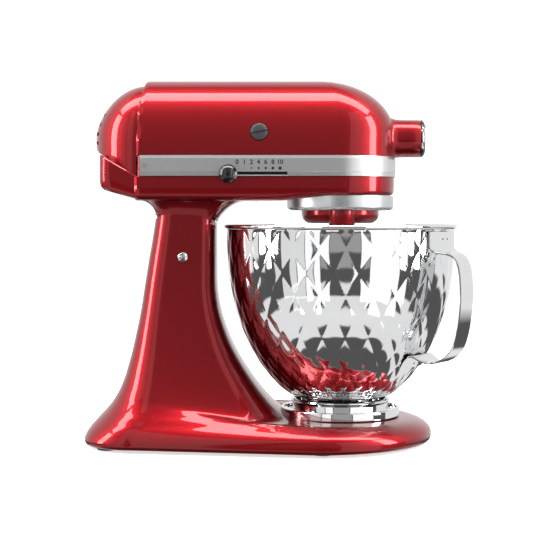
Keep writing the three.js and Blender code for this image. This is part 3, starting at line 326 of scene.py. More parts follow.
def lathe_y(name, profile, material, x, z, sign=-1, segments=48, closed=True, angle=32):
    """A turned piece about a line along Y, from [radius, distance] points; sign says which side it is on."""
    piece = lathe(name, profile, material, segments, closed=closed, angle=angle)
    turn = Matrix.Rotation(math.radians(90 if sign < 0 else -90), 4, "X")
    shift = Matrix.Translation(Vector((AXIS_X, 0, 0)))
    piece.data.transform(Matrix.Translation((x * MM, 0, z * MM)) @ shift @ turn @ shift.inverted())
    return piece


# ------------------------------------------------------------------ outlines and lofts
def quarter(share, power):
    return (1 - min(max(share, 0.0), 1.0) ** power) ** (1 / power)


def resample(points, count):
    """count points at equal steps along a closed line."""
    points = np.vstack([points, points[:1]])
    along = np.concatenate([[0], np.cumsum(np.linalg.norm(np.diff(points, axis=0), axis=1))])
    marks = np.linspace(0, along[-1], count, endpoint=False)
    return np.column_stack([np.interp(marks, along, points[:, k]) for k in (0, 1)])


def plan(front, rear, half, rear_half, rear_round, nose, power, count):
    """A plan outline with a superelliptic nose towards +X and rounded rear corners."""
    arc = np.radians(np.linspace(180, 270, 24))
    corner = np.column_stack([rear + rear_round + rear_round * np.cos(arc),
                              -rear_half + rear_round + rear_round * np.sin(arc)])
    turn = np.linspace(-math.pi / 2, math.pi / 2, 121)
    c, s = np.cos(turn), np.sin(turn)
    tip = np.column_stack([front - nose + nose * np.abs(c) ** (2 / power),
                           half * np.sign(s) * np.abs(s) ** (2 / power)])
    other = corner[::-1] * [1, -1]
    outline = np.vstack([[[rear, 0]], corner, tip, other])
    return resample(outline, count)


def station_plan(v, count):
    """The outline of one station, a dict with the arguments of plan() by name."""
    return plan(v["front"], v["rear"], v["half"], v["rear_half"], v["rear_round"], v["nose"],
                v["power"], count)


def smooth_stations(stations, steps):
    """Catmull-Rom rows between the given rows."""
    rows = np.array(stations, float)
    padded = np.vstack([rows[0], rows, rows[-1]])
    out = []
    for i in range(len(rows) - 1):
        a, b, c, d = padded[i:i + 4]
        for k in range(steps):
            t = k / steps
            row = 0.5 * (2 * b + (c - a) * t + (2 * a - 5 * b + 4 * c - d) * t ** 2
                         + (-a + 3 * b - 3 * c + d) * t ** 3)
            out.append(np.clip(row, np.minimum(b, c), np.maximum(b, c)))
    return out + [rows[-1]]


def skin(name, rings, material, cap_start=False, cap_end=False, angle=32):
    count = len(rings[0])
    points = [p for ring in rings for p in ring]
    faces = grid_faces(len(rings), count)
    if cap_start:
        faces.append(tuple(range(count)))
    if cap_end:
        faces.append(tuple(range((len(rings) - 1) * count, len(rings) * count)))
    return make_object(name, points, faces, material, angle)


def tilted_ring(outline, z_front, z_rear, front, rear):
    if front > -60 and rear > -200:
        front, rear = -20, -62
    share = np.clip((front - outline[:, 0]) / (front - rear), 0, 1)
    share = share * share * (3 - 2 * share)
    return [(x, y, z_front + (z_rear - z_front) * s) for (x, y), s in zip(outline, share)]


def seam_height(x, radius):
    return HINGE_Z + math.sqrt(max(radius ** 2 - (x - HINGE_X) ** 2, 0.0))


# ------------------------------------------------------------------ stand
KNUCKLE_RADIUS = 45.0
STAND_COLUMNS = ("z_front", "z_rear", "front", "rear", "half", "rear_half", "rear_round", "nose", "power")
STAND_STATIONS = [
    (3.0, 3.0, 85.5, -242.5, 106.5, 79.5, 44, 110, 2.0),
    (4.5, 4.5, 87.6, -244.6, 108.6, 81.6, 45, 111, 2.0),
    (7.5, 7.5, 88.8, -245.8, 109.8, 82.8, 46, 112, 2.0),
    (12.0, 11.0, 88.6, -245.2, 109.6, 82.4, 46, 112, 2.0),
    (16.5, 15.5, 86.0, -243.0, 107.4, 80.9, 46, 110, 2.0),
    (20.5, 20.5, 80.5, -239.6, 103.0, 78.6, 46, 105, 2.0),
    (23.3, 25.5, 72.5, -235.0, 97.5, 75.9, 46, 98, 2.0),
    (24.8, 30.5, 60.0, -230.2, 92.5, 73.2, 45, 90, 2.0),
    (25.2, 35.5, 30.0, -225.6, 87.0, 70.4, 44, 70, 2.0),
    (25.5, 41.0, -15.0, -221.2, 81.5, 67.6, 42, 48, 2.1),
    (27.5, 47.0, -48.0, -217.2, 76.0, 64.8, 40, 38, 2.3),
    (35.5, 54.5, -62.0, -213.2, 69.5, 61.6, 37, 34, 2.5),
    (49.0, 65.0, -75.0, -209.0, 63.0, 57.6, 34, 31, 2.7),
    (65.0, 77.0, -87.0, -205.4, 57.5, 53.9, 31, 29, 2.8),
    (84.0, 92.0, -99.0, -201.4, 52.4, 50.2, 28, 27, 2.9),
    (104.0, 109.0, -108.8, -197.6, 48.4, 47.0, 25, 24, 3.0),
    (128.0, 130.0, -116.6, -193.3, 44.8, 44.0, 22, 21, 3.0),
    (152.0, 152.0, -120.2, -190.0, 42.0, 41.6, 21, 20, 3.0),
    (181.0, 181.0, -120.7, -185.4, 40.0, 40.0, 20, 19, 3.0),
]


def make_stand():
    count = 200
    rings = []
    for row in smooth_stations(STAND_STATIONS, 5):
        v = dict(zip(STAND_COLUMNS, row))
        outline = station_plan(v, count)
        rings.append(tilted_ring(outline, v["z_front"], v["z_rear"], v["front"], v["rear"]))
    top = plan(-120.7, -179.6, 39.4, 39.4, 19, 18, 3.0, count)
    base = np.array(rings[-1])
    for k in range(1, 9):
        share = k / 8
        flat = base[:, :2] * (1 - share) + top * share
        rings.append([(x, y, HINGE_Z + (seam_height(x, KNUCKLE_RADIUS) - HINGE_Z) * share) for x, y in flat])
    inward = [0.985, 0.95, 0.85, 0.65, 0.4, 0.15]
    middle = np.array([-150.0, 0.0])
    for scale in inward:
        flat = middle + (top - middle) * scale
        rings.append([(x, y, seam_height(x, KNUCKLE_RADIUS)) for x, y in flat])
    stand = skin("stand_casting", rings, PAINT, cap_start=True, cap_end=True, angle=38)
    slot_half = 16.6
    boolean(stand, tongue_slot(slot_half))
    bore = pin_profile(3.9, 15, 34)
    boolean(stand, lathe_y("lock_bore_tool", bore, PAINT, *lock_point(LOCK_ANGLE), 1, 40))
    shade(stand, 38)
    return dress(stand, "base", RED, "stand")


def tongue_slot(half):
    """The pocket in the top of the column that the head's tongue turns in."""
    outline = []
    for radius, start, stop in ((24.6, 150, 424), (60, 56, 122)):
        turns = np.radians(np.arange(start, stop, 6))
        outline += [(HINGE_X + radius * math.cos(t), HINGE_Z + radius * math.sin(t)) for t in turns]
    count = len(outline)
    points = [(x, y, z) for y in (-half, half) for x, z in outline]
    faces = [tuple(range(count)), tuple(range(2 * count - 1, count - 1, -1))]
    faces += [(k, (k + 1) % count, count + (k + 1) % count, count + k) for k in range(count)]
    return make_object("slot_tool", points, faces, PAINT)


# ------------------------------------------------------------------ head
NECK_RADIUS = 46.5
LOWER_STATIONS = [
    (216.0, 218.0, -119.6, -178.2, 38.6, 38.6, 17, 17, 3.0),
    (220.0, 222.0, -117.0, -179.0, 39.4, 39.4, 17, 18, 3.0),
    (224.5, 226.5, -113.2, -180.8, 40.8, 40.6, 17, 19, 3.0),
    (228.5, 230.2, -108.6, -183.4, 42.6, 42.2, 16, 21, 2.9),
    (231.6, 232.8, -103.4, -186.6, 44.6, 43.8, 15, 23, 2.8),
    (233.6, 234.4, -97.4, -190.4, 46.4, 45.4, 13, 26, 2.7),
    (234.5, 235.2, -90.0, -194.0, 47.8, 46.8, 11, 30, 2.5),
    (236.0, 234.8, -55.0, -196.2, 49.4, 48.6, 10, 42, 2.2),
    (239.6, 235.2, 30.0, -196.8, 51.2, 50.6, 9, 50, 2.0),
    (239.9, 236.2, 46.0, -197.0, 52.8, 52.4, 6, 52, 2.0),
    (240.6, 238.2, 50.4, -197.0, 54.3, 54.0, 4, 54, 2.0),
    (242.2, 241.2, 52.2, -197.0, 55.2, 55.1, 3, 55, 2.0),
    (246.0, 246.0, 52.8, -197.0, 55.8, 55.8, 3, 56, 2.0),
    (251.0, 251.0, 53.0, -197.0, 56.0, 56.0, 3, 56, 2.0),
    (257.2, 257.2, 53.0, -197.0, 56.0, 56.0, 3, 56, 2.0),
]


def head_outline(z, inset, count):
    """Plan outline of the upper housing at a height."""
    rise = (z - BAND_TOP) / (HEAD_TOP - BAND_TOP)
    half = max(HEAD_HALF * quarter(rise, 2.3) - inset, 1.2)
    crown = quarter((z - (HEAD_TOP - 52)) / 52, 2) if z > HEAD_TOP - 52 else 1.0
    front = HEAD_FRONT - 73 + 73 * crown - inset
    round_off = 3 * (1 - quarter((z - HEAD_TOP + 4) / 4, 2)) if z > HEAD_TOP - 4 else 0.0
    rear = HEAD_REAR + rear_lean(z) + round_off + inset
    return plan(front, rear, half, half, min(2.5, half * 0.9), max(half, 1.2), 2.0, count)


def rear_lean(z):
    """How far the housing's rear edge leans forward at a height."""
    return 7 * (max(z - HEAD_TOP + 52, 0) / 52) ** 2.2


def make_head_lower():
    count = 200
    groove = 1.5
    rings = []
    for row in smooth_stations(LOWER_STATIONS, 5):
        v = dict(zip(STAND_COLUMNS, row))
        outline = station_plan(v, count)
        rings.append(tilted_ring(outline, v["z_front"], v["z_rear"], v["front"], v["rear"]))
    seam = [(x, y, seam_height(x, NECK_RADIUS)) for x, y, z in rings[0]]
    inner = [(HINGE_X + 3 + (x - HINGE_X - 3) * 0.9, y * 0.9, 0) for x, y, z in seam]
    start = [[(HINGE_X + 3 + (x - HINGE_X - 3) * s, y * s, 0) for x, y, z in inner] for s in (0.3, 0.7, 1.0)]
    start = [[(x, y, seam_height(x, NECK_RADIUS)) for x, y, z in ring] for ring in start]
    ledge = plan(HEAD_FRONT - groove, HEAD_REAR + groove, 56 - groove, 56 - groove, 2, 56 - groove, 2.0,
                 count)
    rings = start + [seam] + rings[1:]
    rings += [[(x, y, z) for x, y in ledge] for z in (BAND_BOTTOM - 0.3, SPLIT_Z)]
    shell = skin("gear_housing", rings, PAINT, cap_start=True, angle=38)
    solidify(shell, 3.0, 38)
    ring_radius = local(DRIP_HI).x + 0.3
    tool = lathe("seat_tool", [(0.01, 190), (ring_radius, 190), (ring_radius, local(DRIP_HI).z + 0.3),
                               (0.01, local(DRIP_HI).z + 0.3)], PAINT, 96)
    boolean(shell, tool)
    shade(shell, 38)
    return dress(shell, "head", RED, "head_lower")


def make_tongue():
    """The hinge tongue of the gear housing, with its three bores, seen when the head is tilted."""
    radius, half, arm, lean = 24.0, 16.0, 15.0, math.radians(66)
    along = np.array([math.cos(lean), math.sin(lean)])
    across = np.array([math.sin(lean), -math.cos(lean)]) * arm / 2
    start = lean - math.asin(arm / 2 / radius)
    stop = lean + math.asin(arm / 2 / radius)
    turns = np.linspace(stop, start + 2 * math.pi, 60)
    outline = [(HINGE_X + radius * math.cos(t), HINGE_Z + radius * math.sin(t)) for t in turns]
    end = np.array([HINGE_X, HINGE_Z]) + along * 56
    outline += [tuple(end + across), tuple(end - across)]
    count = len(outline)
    points = [(x, y, z) for y in (-half, half) for x, z in outline]
    faces = [tuple(range(count)), tuple(range(2 * count - 1, count - 1, -1))]
    faces += [(k, (k + 1) % count, count + (k + 1) % count, count + k) for k in range(count)]
    tongue = make_object("hinge_tongue", points, faces, MATERIALS[ALLOY])
    locked, raised = lock_point(LOCK_ANGLE), lock_point(LOCK_ANGLE - TILT)
    for (x, z), bore in (((HINGE_X, HINGE_Z), 5.3), (locked, 3.7), (raised, 3.7)):
        tool = lathe_y("bore_tool", pin_profile(bore, -40, 40), PAINT, x, z, 1, 40)
        boolean(tongue, tool)
    bevel(tongue, 0.8, 2)
    return dress(tongue, "head", RED, "head_lower")


def make_head_upper():
    count, groove = 200, 1.5
    rings = [[(x, y, z) for x, y in head_outline(BAND_TOP, groove, count)]
             for z in (SPLIT_Z + 0.3, BAND_TOP - 0.3)]
    for turn in np.radians(np.linspace(0, 86.5, 34)):
        z = BAND_TOP + 0.2 + (HEAD_TOP - BAND_TOP - 0.2) * math.sin(turn) ** (2 / 2.3)
        rings.append([(x, y, z) for x, y in head_outline(z, 0, count)])
    rings.append([(x, y, HEAD_TOP) for x, y in head_outline(HEAD_TOP, 0, count)])
    shell = skin("motor_housing", rings, PAINT, cap_end=True, angle=38)
    solidify(shell, 3.0, 38)
    boolean(shell, hub_collar("hub_tool", 0.0, False))
    cap_x = (local(CAP_LO).x + local(CAP_HI).x) / 2
    cap_z = (local(CAP_LO).z + local(CAP_HI).z) / 2
    for side in (-1, 1):
        boolean(shell, lathe_y("cap_tool", pin_profile(8.6, 30, 80), PAINT, cap_x, cap_z, side))
    shade(shell, 38)
    return dress(shell, "head", RED, "head_upper")


def hub_collar(name, grow, hollow):
    """The round attachment hub, flaring into the nose."""
    r = HUB_RADIUS + grow
    outer = [(r + 7.5 * math.exp(-(x - 46) / 3.2), x) for x in np.linspace(46, 60, 15)]
    outer += [(r, 66), (r, HUB_FRONT - 1.2), (r - 0.4, HUB_FRONT - 0.4), (r - 1.2, HUB_FRONT)]
    bore = 12.5
    inner = [(bore, HUB_FRONT), (bore, 46)] if hollow else [(0.01, HUB_FRONT), (0.01, 46)]
    return lathe_x(name, [(r + 7.5, 44)] + outer + inner + [(inner[-1][0], 44)], PAINT, 0, HUB_Z, 96)


def make_rear_cover():
    """The dome over the motor's rear, shrinking crown sections round a point on the rear face."""
    depth = HEAD_REAR - local(REAR_LO).x
    middle_z, lap, low, crown, sides = 296.0, 4.5, 256.0, 347.2, 8
    half = HEAD_HALF - lap
    arch = [(half, low + (BAND_TOP - low) * k / sides) for k in range(sides)]
    for turn in np.radians(np.linspace(0, 90, 40)):
        y, rise = half * math.cos(turn) ** (2 / 2.3), math.sin(turn) ** (2 / 2.3)
        arch.append((y, BAND_TOP + (crown - BAND_TOP) * rise))
    section = arch + [(-y, z) for y, z in reversed(arch[:-1])]
    floor = [(half * (1 - 2 * k / 24), low) for k in range(1, 24)]
    section += [(-y, z) for y, z in floor]
    rings = []
    for turn in np.radians(np.linspace(0, 88, 40)):
        share = math.sin(turn) ** (2 / 1.9)
        scale = math.cos(turn) ** (2 / 1.9)
        rings.append([(HEAD_REAR - 0.3 + rear_lean(z) * scale - (depth - 0.3) * share, y * scale,
                       middle_z + (z - middle_z) * scale) for y, z in section])
    cover = skin("motor_rear_cover", rings, PAINT, cap_start=True, cap_end=True, angle=38)
    edit = bmesh.new()
    edit.from_mesh(cover.data)
    start = Vector(place(HEAD_REAR, 0, 258.3))
    slope = math.atan2(279 - 258, HEAD_REAR + 231)
    normal = Vector((math.sin(slope), 0, math.cos(slope)))
    cutting = bmesh.ops.bisect_plane(edit, geom=edit.verts[:] + edit.edges[:] + edit.faces[:], plane_co=start,
                                     plane_no=normal, clear_inner=True)
    edges = [e for e in cutting["geom_cut"] if isinstance(e, bmesh.types.BMEdge)]
    bmesh.ops.contextual_create(edit, geom=edges)
    edit.to_mesh(cover.data)
    edit.free()
    shade(cover, 38)
    vent_z, pitch, vent_half = 299.5, 9, 1.6
    for k in range(-2, 3):
        z = vent_z + k * pitch
        for y0, y1 in ((-21, -4), (4, 21)):
            boolean(cover, box_object("vent_tool", -245, -217, y0, y1, z - vent_half, z + vent_half))
    shade(cover, 38)
    return dress(cover, "head", RED, "rear_cover")


def box_object(name, x0, x1, y0, y1, z0, z1, material=None):
    points = [(x, y, z) for x in (x0, x1) for y in (y0, y1) for z in (z0, z1)]
    faces = [(0, 1, 3, 2), (4, 6, 7, 5), (0, 4, 5, 1), (2, 3, 7, 6), (0, 2, 6, 4), (1, 5, 7, 3)]
    return make_object(name, points, faces, material or PAINT)


def make_rear_block():
    """The rear end of the gear housing under the dome, with its sloping top."""
    rows = [(7.0, 236.4, 246.4), (4.0, 236.0, 246.0), (1.4, 237.0, 248.0), (0.0, 240.0, 252.0),
            (0.0, 248.0, 264.0), (0.0, 257.0, 277.6), (0.9, 258.0, 279.0), (2.2, 258.2, 279.2)]
    rings = []
    for inset, z_front, z_rear in rows:
        outline = plan(HEAD_REAR + 4, -231 + inset, 53 - inset, 52 - inset, 11 - inset * 0.4, 1.0, 2.0, 160)
        share = (HEAD_REAR - 0.3 - outline[:, 0]) / (HEAD_REAR - 0.3 + 231)
        rings.append([(x, y, z_front + (z_rear - z_front) * s) for (x, y), s in zip(outline, share)])
    block = skin("housing_rear_end", rings, PAINT, cap_start=True, cap_end=True, angle=30)
    return dress(block, "head", RED, "head_lower")


def along_nose(point):
    """Where a point lies on the way from the near rear end, round the nose, to the far rear end."""
    x, y = point[0] + 3, point[1]
    if x > 0:
        return math.atan2(y, x)
    return x - 2 if y < 0 else 2 - x


def make_band():
    """The trim band: a bevelled strip round the nose with the speed slot in its lower bevel."""
    path = plan(HEAD_FRONT, HEAD_REAR + 1, HEAD_HALF, HEAD_HALF, 1.0, HEAD_HALF, 2.0, 900)
    start = HEAD_REAR + 3.0
    side = [p for p in path if p[0] > start]
    side.sort(key=along_nose)
    slot_from, slot_to = -113.0, -52.4
    side = np.array(side)
    for edge_x in (slot_from, slot_to):
        k = int(np.argmin(np.abs(side[:, 0] - edge_x) + 1000 * (side[:, 1] > 0)))
        side[k, 0] = edge_x
    tangent = np.gradient(side, axis=0)
    normal = np.column_stack([tangent[:, 1], -tangent[:, 0]])
    normal /= np.linalg.norm(normal, axis=1)[:, None]
    profile = [(0.1, BAND_BOTTOM), (0.8, BAND_BOTTOM + 0.25), (1.15, BAND_BOTTOM + 3.9),
               (1.3, BAND_BOTTOM + 4.2), (1.3, BAND_BOTTOM + 9.0), (1.3, BAND_TOP - 2.8),
               (1.15, BAND_TOP - 2.4), (0.5, BAND_TOP - 0.25), (0.0, BAND_TOP)]
    points = [(x + n[0] * out, y + n[1] * out, z) for out, z in profile for (x, y), n in zip(side, normal)]
    faces = []
    columns = len(side)
    for r, c in ((r, c) for r in range(len(profile) - 1) for c in range(columns - 1)):
        middle = side[c:c + 2].mean(axis=0)
        in_slot = 1 <= r <= 2 and middle[1] < 0 and slot_from < middle[0] < slot_to
        if not in_slot:
            faces.append((r * columns + c, r * columns + c + 1, (r + 1) * columns + c + 1,
                          (r + 1) * columns + c))
    band = make_object("trim_strip", points, faces, MATERIALS[SILVER], 20)
    edit = bmesh.new()
    edit.from_mesh(band.data)
    centre = Vector(place(-3, 0, 267))
    outward = sum(1 if (f.calc_center_median() - centre).dot(f.normal) > 0 else -1 for f in edit.faces)
    if outward < 0:
        bmesh.ops.reverse_faces(edit, faces=edit.faces)
    edit.to_mesh(band.data)
    edit.free()
    solidify(band, 1.2, 20)
    dress(band, "head", SILVER, "trim_band")
    # A near-black box just inside the speed slot: painted shade that stands for the dark inside of the housing
    # seen through the slot.
    painted_slot_shade = box_object("slot_painted_shade", slot_from - 1, slot_to + 1, -HEAD_HALF + 1.2, -HEAD_HALF + 1.5,
                       BAND_BOTTOM + 0.2, BAND_BOTTOM + 5.2, DARK)
    dress(painted_slot_shade, "head", BLACK)


def make_scale():
    """The speed numbers and their growing dots, printed on the band."""
    face_y = -HEAD_HALF - 1.3 - 0.04
    labels = ["0", "1", "2", "4", "6", "8", "10"]
    dots = [0.0, 0.45, 0.75, 1.0, 1.15, 1.35, 1.6]
    for k, (label, dot) in enumerate(zip(labels, dots)):
        x = -99.7 + 40.4 * k / 6
        text = bpy.data.curves.new("number_" + label, "FONT")
        text.body = label
        text.size = 6.0 * MM
        text.offset = 0.15 * MM
        text.align_x = "CENTER"
        text.extrude = 0.03 * MM
        holder = bpy.data.objects.new("number_" + label, text)
        bpy.context.scene.collection.objects.link(holder)
        holder.location = place(x, face_y, 269.1)
        holder.rotation_euler = (math.radians(90), 0, 0)
        bpy.context.view_layer.update()
        depsgraph = bpy.context.evaluated_depsgraph_get()
        mesh = bpy.data.meshes.new_from_object(holder.evaluated_get(depsgraph))
        mesh.transform(holder.matrix_world)
        piece = bpy.data.objects.new("speed_number_" + label, mesh)
        bpy.data.objects.remove(holder)
        bpy.context.scene.collection.objects.link(piece)
        piece.data.materials.clear()
        piece.data.materials.append(INK)
        dress(piece, "head", BLACK)
        if dot:
            mark = lathe_y("speed_dot_" + label, pin_profile(dot, 0, -0.05), INK, x, 265.2, 1, 28)
            mark.data.transform(Matrix.Translation((0, face_y * MM, 0)))
            dress(mark, "head", BLACK)


def make_knob():
    """A glossy ball with a thumb scoop on its front side, on a thin stem."""
    lo, hi = local(KNOB_LO), local(KNOB_HI)
    centre = Vector(((lo.x + hi.x) / 2, lo.y + 8.0, (lo.z + hi.z) / 2))
    radius = (hi.x - lo.x) / 2
    rows, columns = 40, 64
    points = []
    scoop = Vector((1.25, -0.62, 0.0))
    for r in range(rows + 1):
        for c in range(columns):
            polar, turn = math.pi * r / rows, 2 * math.pi * c / columns
            p = Vector((math.sin(polar) * math.cos(turn), -math.cos(polar), math.sin(polar) * math.sin(turn)))
            near = (p - scoop).length
            if near < 0.92:
                p = scoop + (p - scoop) * (0.92 / near) * (1 - 0.25 * (1 - near / 0.92))
            points.append((centre.x + p.x * radius, centre.y + p.y * 8.0, centre.z + p.z * radius))
    knob = make_object("speed_lever_knob", points, grid_faces(rows + 1, columns), MATERIALS[BLACK], 50)
    dress(knob, "speed_control", BLACK, "speed_knob")
    stem = lathe_y("speed_lever_stem", pin_profile(1.5, -centre.y - 3, -centre.y - 24),
                   MATERIALS[MACHINED], centre.x, centre.z, -1, 24)
    dress(stem, "speed_control", MACHINED)


def make_brush_caps():
    for node, side in (("brush_cap_right", -1), ("brush_cap_left", 1)):
        lo, hi = (local(v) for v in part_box(node))
        x, z, radius = (lo.x + hi.x) / 2, (lo.z + hi.z) / 2, (hi.x - lo.x) / 2
        outer = max(abs(lo.y), abs(hi.y))
        inner = min(abs(lo.y), abs(hi.y))
        profile = [(0.01, outer - 0.1), (radius * 0.6, outer - 0.15), (radius - 1.0, outer - 0.5),
                   (radius - 0.25, outer - 1.1), (radius, outer - 1.8), (radius, inner), (0.01, inner)]
        cap = lathe_y(node + "_moulding", profile, MATERIALS[GREY], x, z, side, 64)
        slot_tool = box_object("slot_tool", -9.5, 9.5, -1.4, 1.4, -0.95, 0.95)
        slot_tool.data.transform(Matrix.Translation((-AXIS_X, 0, 0)))
        slot_tool.data.transform(Matrix.Translation((AXIS_X + x * MM, side * outer * MM, z * MM))
                                 @ Matrix.Rotation(math.radians(-12), 4, "Y"))
        boolean(cap, slot_tool)
        shade(cap, 30)
        dress(cap, "head", GREY, node)


def make_hub():
    collar = hub_collar("hub_collar", 0.0, True)
    dress(collar, "head", RED, "head_upper")
    depth = local(RIM_HI).x - HUB_FRONT
    r = HUB_RADIUS
    profile = [(12.6, HUB_FRONT + 0.3), (r - 0.4, HUB_FRONT + 0.3), (r, HUB_FRONT + 0.8),
               (r, HUB_FRONT + 1.6), (r - 0.8, HUB_FRONT + 2.8), (r - 2.2, HUB_FRONT + depth - 0.4),
               (r - 3.2, HUB_FRONT + depth), (13.2, HUB_FRONT + depth), (12.6, HUB_FRONT + depth - 0.5)]
    rim = lathe_x("hub_rim_ring", profile, MATERIALS[STEEL], 0, HUB_Z, 96)
    # Painted reflection: the steel ring's arcs more than 10.5 mm above and below the hub's middle are given black
    # plastic, standing for dark surroundings mirrored there.
    rim.data.materials.append(MATERIALS[BLACK])
    for polygon in rim.data.polygons:
        if abs(polygon.center.z / MM - HUB_Z) > 10.5:
            polygon.material_index = 1
    dress(rim, "head", STEEL, "hub_rim")
    lo, hi = (local(v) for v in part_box("hub_cover"))
    radius = (hi.y - lo.y) / 2
    dome = [(0.01, hi.x - 0.1), (radius * 0.5, hi.x - 0.25), (radius - 1.2, hi.x - 0.6),
            (radius - 0.2, hi.x - 1.2), (radius, hi.x - 1.8), (radius - 0.3, hi.x - 2.3), (0.01, hi.x - 2.3)]
    cover = lathe_x("hub_cover_disc", dome, MATERIALS[STEEL], 0, HUB_Z, 72)
    top = box_object("trim_tool", 60, 100, -30, 30, HUB_Z + 8, 340)
    boolean(cover, top)
    shade(cover, 30)
    dress(cover, "hub_cover_body", STEEL)


def make_drip_ring():
    lo, hi = local(DRIP_LO), local(DRIP_HI)
    r, low, high = hi.x, lo.z, hi.z
    curve = [(r - 5 + 5 * math.sin(t), low + 3.2 - 3.2 * math.cos(t))
             for t in np.radians(np.linspace(0, 90, 8))]
    profile = [(r - 6.5, low + 1.2), (r - 6.3, low + 0.3)] + curve
    profile += [(r, high), (r - 2.6, high), (r - 2.8, low + 3.5)]
    dress(lathe("drip_ring_shell", profile, MATERIALS[SILVER], 128, angle=30), "head", SILVER, "drip_ring")


def make_planetary():
    """The red planetary carrier with its shaft boss at the near side."""
    lo, hi = (local(v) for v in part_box("planetary"))
    low, r, top = lo.z + 4, 38.0, hi.z
    curve = [(r - 9 + 9 * math.sin(t), low + 9 - 9 * math.cos(t)) for t in np.radians(np.linspace(0, 90, 12))]
    body = lathe("carrier_disc", [(0.01, low)] + curve + [(r, top), (0.01, top)], PAINT, 96,
                 closed=False, angle=38)
    tidy_normals(body)
    boss_x, boss_y, boss_r = 0.0, -32.0, 12.5
    boss = lathe("carrier_boss", [(0.01, lo.z), (boss_r - 1.4, lo.z), (boss_r - 0.4, lo.z + 0.4),
                                  (boss_r, lo.z + 1.4), (boss_r, top - 0.4), (0.01, top - 0.4)], PAINT,
                                  72, (boss_x, boss_y), False)
    tidy_normals(boss)
    boolean(body, boss, "UNION")
    boolean(body, lathe("shaft_tool", pin_profile(6.9, 190, 260), PAINT, 48, (boss_x, boss_y)))
    boolean(body, lathe("shaft_tool", pin_profile(6.4, low + 3.5, 260), PAINT, 48))
    shade(body, 34)
    dress(body, "carrier", RED, "planetary")


# ------------------------------------------------------------------ bowl
WALL_RADIUS, NECK_RADIUS_BOWL, WALL_LOW, WALL_HIGH = 111.6, 47.0, 45.2, 207.5
FACETS_ROUND = 28
FACET_HEIGHT = 43.0


def bowl_curve(count):
    share = np.linspace(0, 1, 400) ** 1.5
    wall = NECK_RADIUS_BOWL + (WALL_RADIUS - NECK_RADIUS_BOWL) * (1 - (1 - share) ** 2.4) ** 0.78
    floor = [[30, 43.2], [38, 43.5], [44, 44.3]]
    rows = np.vstack([floor, np.column_stack([wall, WALL_LOW + share * (WALL_HIGH - WALL_LOW)])])
    along = np.concatenate([[0], np.cumsum(np.linalg.norm(np.diff(rows, axis=0), axis=1))])
    marks = np.linspace(0, along[-1], count)
    return np.column_stack([np.interp(marks, along, rows[:, k]) for k in (0, 1)]), marks


def make_bowl():
    """The bowl with its pressed diamonds: two families of helical creases with shallow pillows between."""
    columns, count = FACETS_ROUND * 14, 150
    curve, marks = bowl_curve(count)
    tangent = np.gradient(curve, axis=0)
    normal = np.column_stack([tangent[:, 1], -tangent[:, 0]])
    normal /= np.linalg.norm(normal, axis=1)[:, None]
    step = np.diff(marks, prepend=0) / (FACET_HEIGHT * np.maximum(curve[:, 0] / 111, 0.35) ** 0.75)
    rise = np.cumsum(step)
    rise = rise - rise[-1] + 0.42
    turns = np.arange(columns) / columns
    u = turns * FACETS_ROUND
    a = (u[None, :] + rise[:, None]) % 1.0
    b = (u[None, :] - rise[:, None]) % 1.0
    pillow = np.abs(np.sin(math.pi * a) * np.sin(math.pi * b)) ** 0.85
    crease = np.exp(-(np.minimum.reduce([a, 1 - a, b, 1 - b]) / 0.04) ** 2)
    heights = curve[:, 1]
    fade = (np.clip((heights - 45.5) / 6, 0, 1) * np.clip((207.0 - heights) / 1.5, 0, 1))[:, None]
    push = (-0.75 + 0.75 * pillow - 0.12 * crease) * fade
    radius = curve[:, 0][:, None] + push * normal[:, 0][:, None]
    height = curve[:, 1][:, None] + push * normal[:, 1][:, None]
    points = [(radius[r, c] * math.cos(2 * math.pi * turns[c]),
               radius[r, c] * math.sin(2 * math.pi * turns[c]), height[r, c]) for r in range(count)
               for c in range(columns)]
    faces = grid_faces(count, columns)
    middle = [(0.0, 0.0, 43.1)]
    faces += [(len(points), (c + 1) % columns, c) for c in range(columns)]
    bowl = make_object("quilted_bowl", points + middle, faces, MATERIALS[STEEL], 60)
    solidify(bowl, 1.1, 60)
    dress(bowl, "bowl_body", STEEL, "bowl")
    bead = [(112.2 + 1.9 * math.cos(t), 209.8 + 2.1 * math.sin(t)) for t in np.radians(np.arange(0, 360, 20))]
    bead = [(r, min(z, 211.8)) for r, z in bead]
    dress(lathe("bowl_rim_bead", bead, MATERIALS[STEEL], 160, angle=50), "bowl_body", STEEL)


def make_bowl_foot():
    lo, hi = (local(v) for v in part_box("bowl_foot"))
    low, high = lo.z, hi.z
    n = 46.5
    profile = [(n - 2, low), (n + 2.6, low), (n + 3.1, low + 0.8), (n + 2.6, low + 2.0),
               (n + 0.8, low + 3.4), (n, low + 5.2), (n, high - 4.6), (n + 0.6, high - 3.4),
               (n + 2.0, high - 2.8), (n + 2.5, high - 1.9), (n + 2.0, high - 1.0),
               (n + 0.6, high - 0.4), (n - 1, high), (n - 2, high)]
    foot = lathe("bowl_foot_ring", profile, MATERIALS[STEEL], 128, angle=26)
    dress(foot, "bowl_body", STEEL, "bowl_foot")


def bowl_radius(z):
    share = min(max((z - WALL_LOW) / (WALL_HIGH - WALL_LOW), 0), 1)
    return NECK_RADIUS_BOWL + (WALL_RADIUS - NECK_RADIUS_BOWL) * (1 - (1 - share) ** 2.4) ** 0.78


HANDLE_TURN = math.radians(-33)


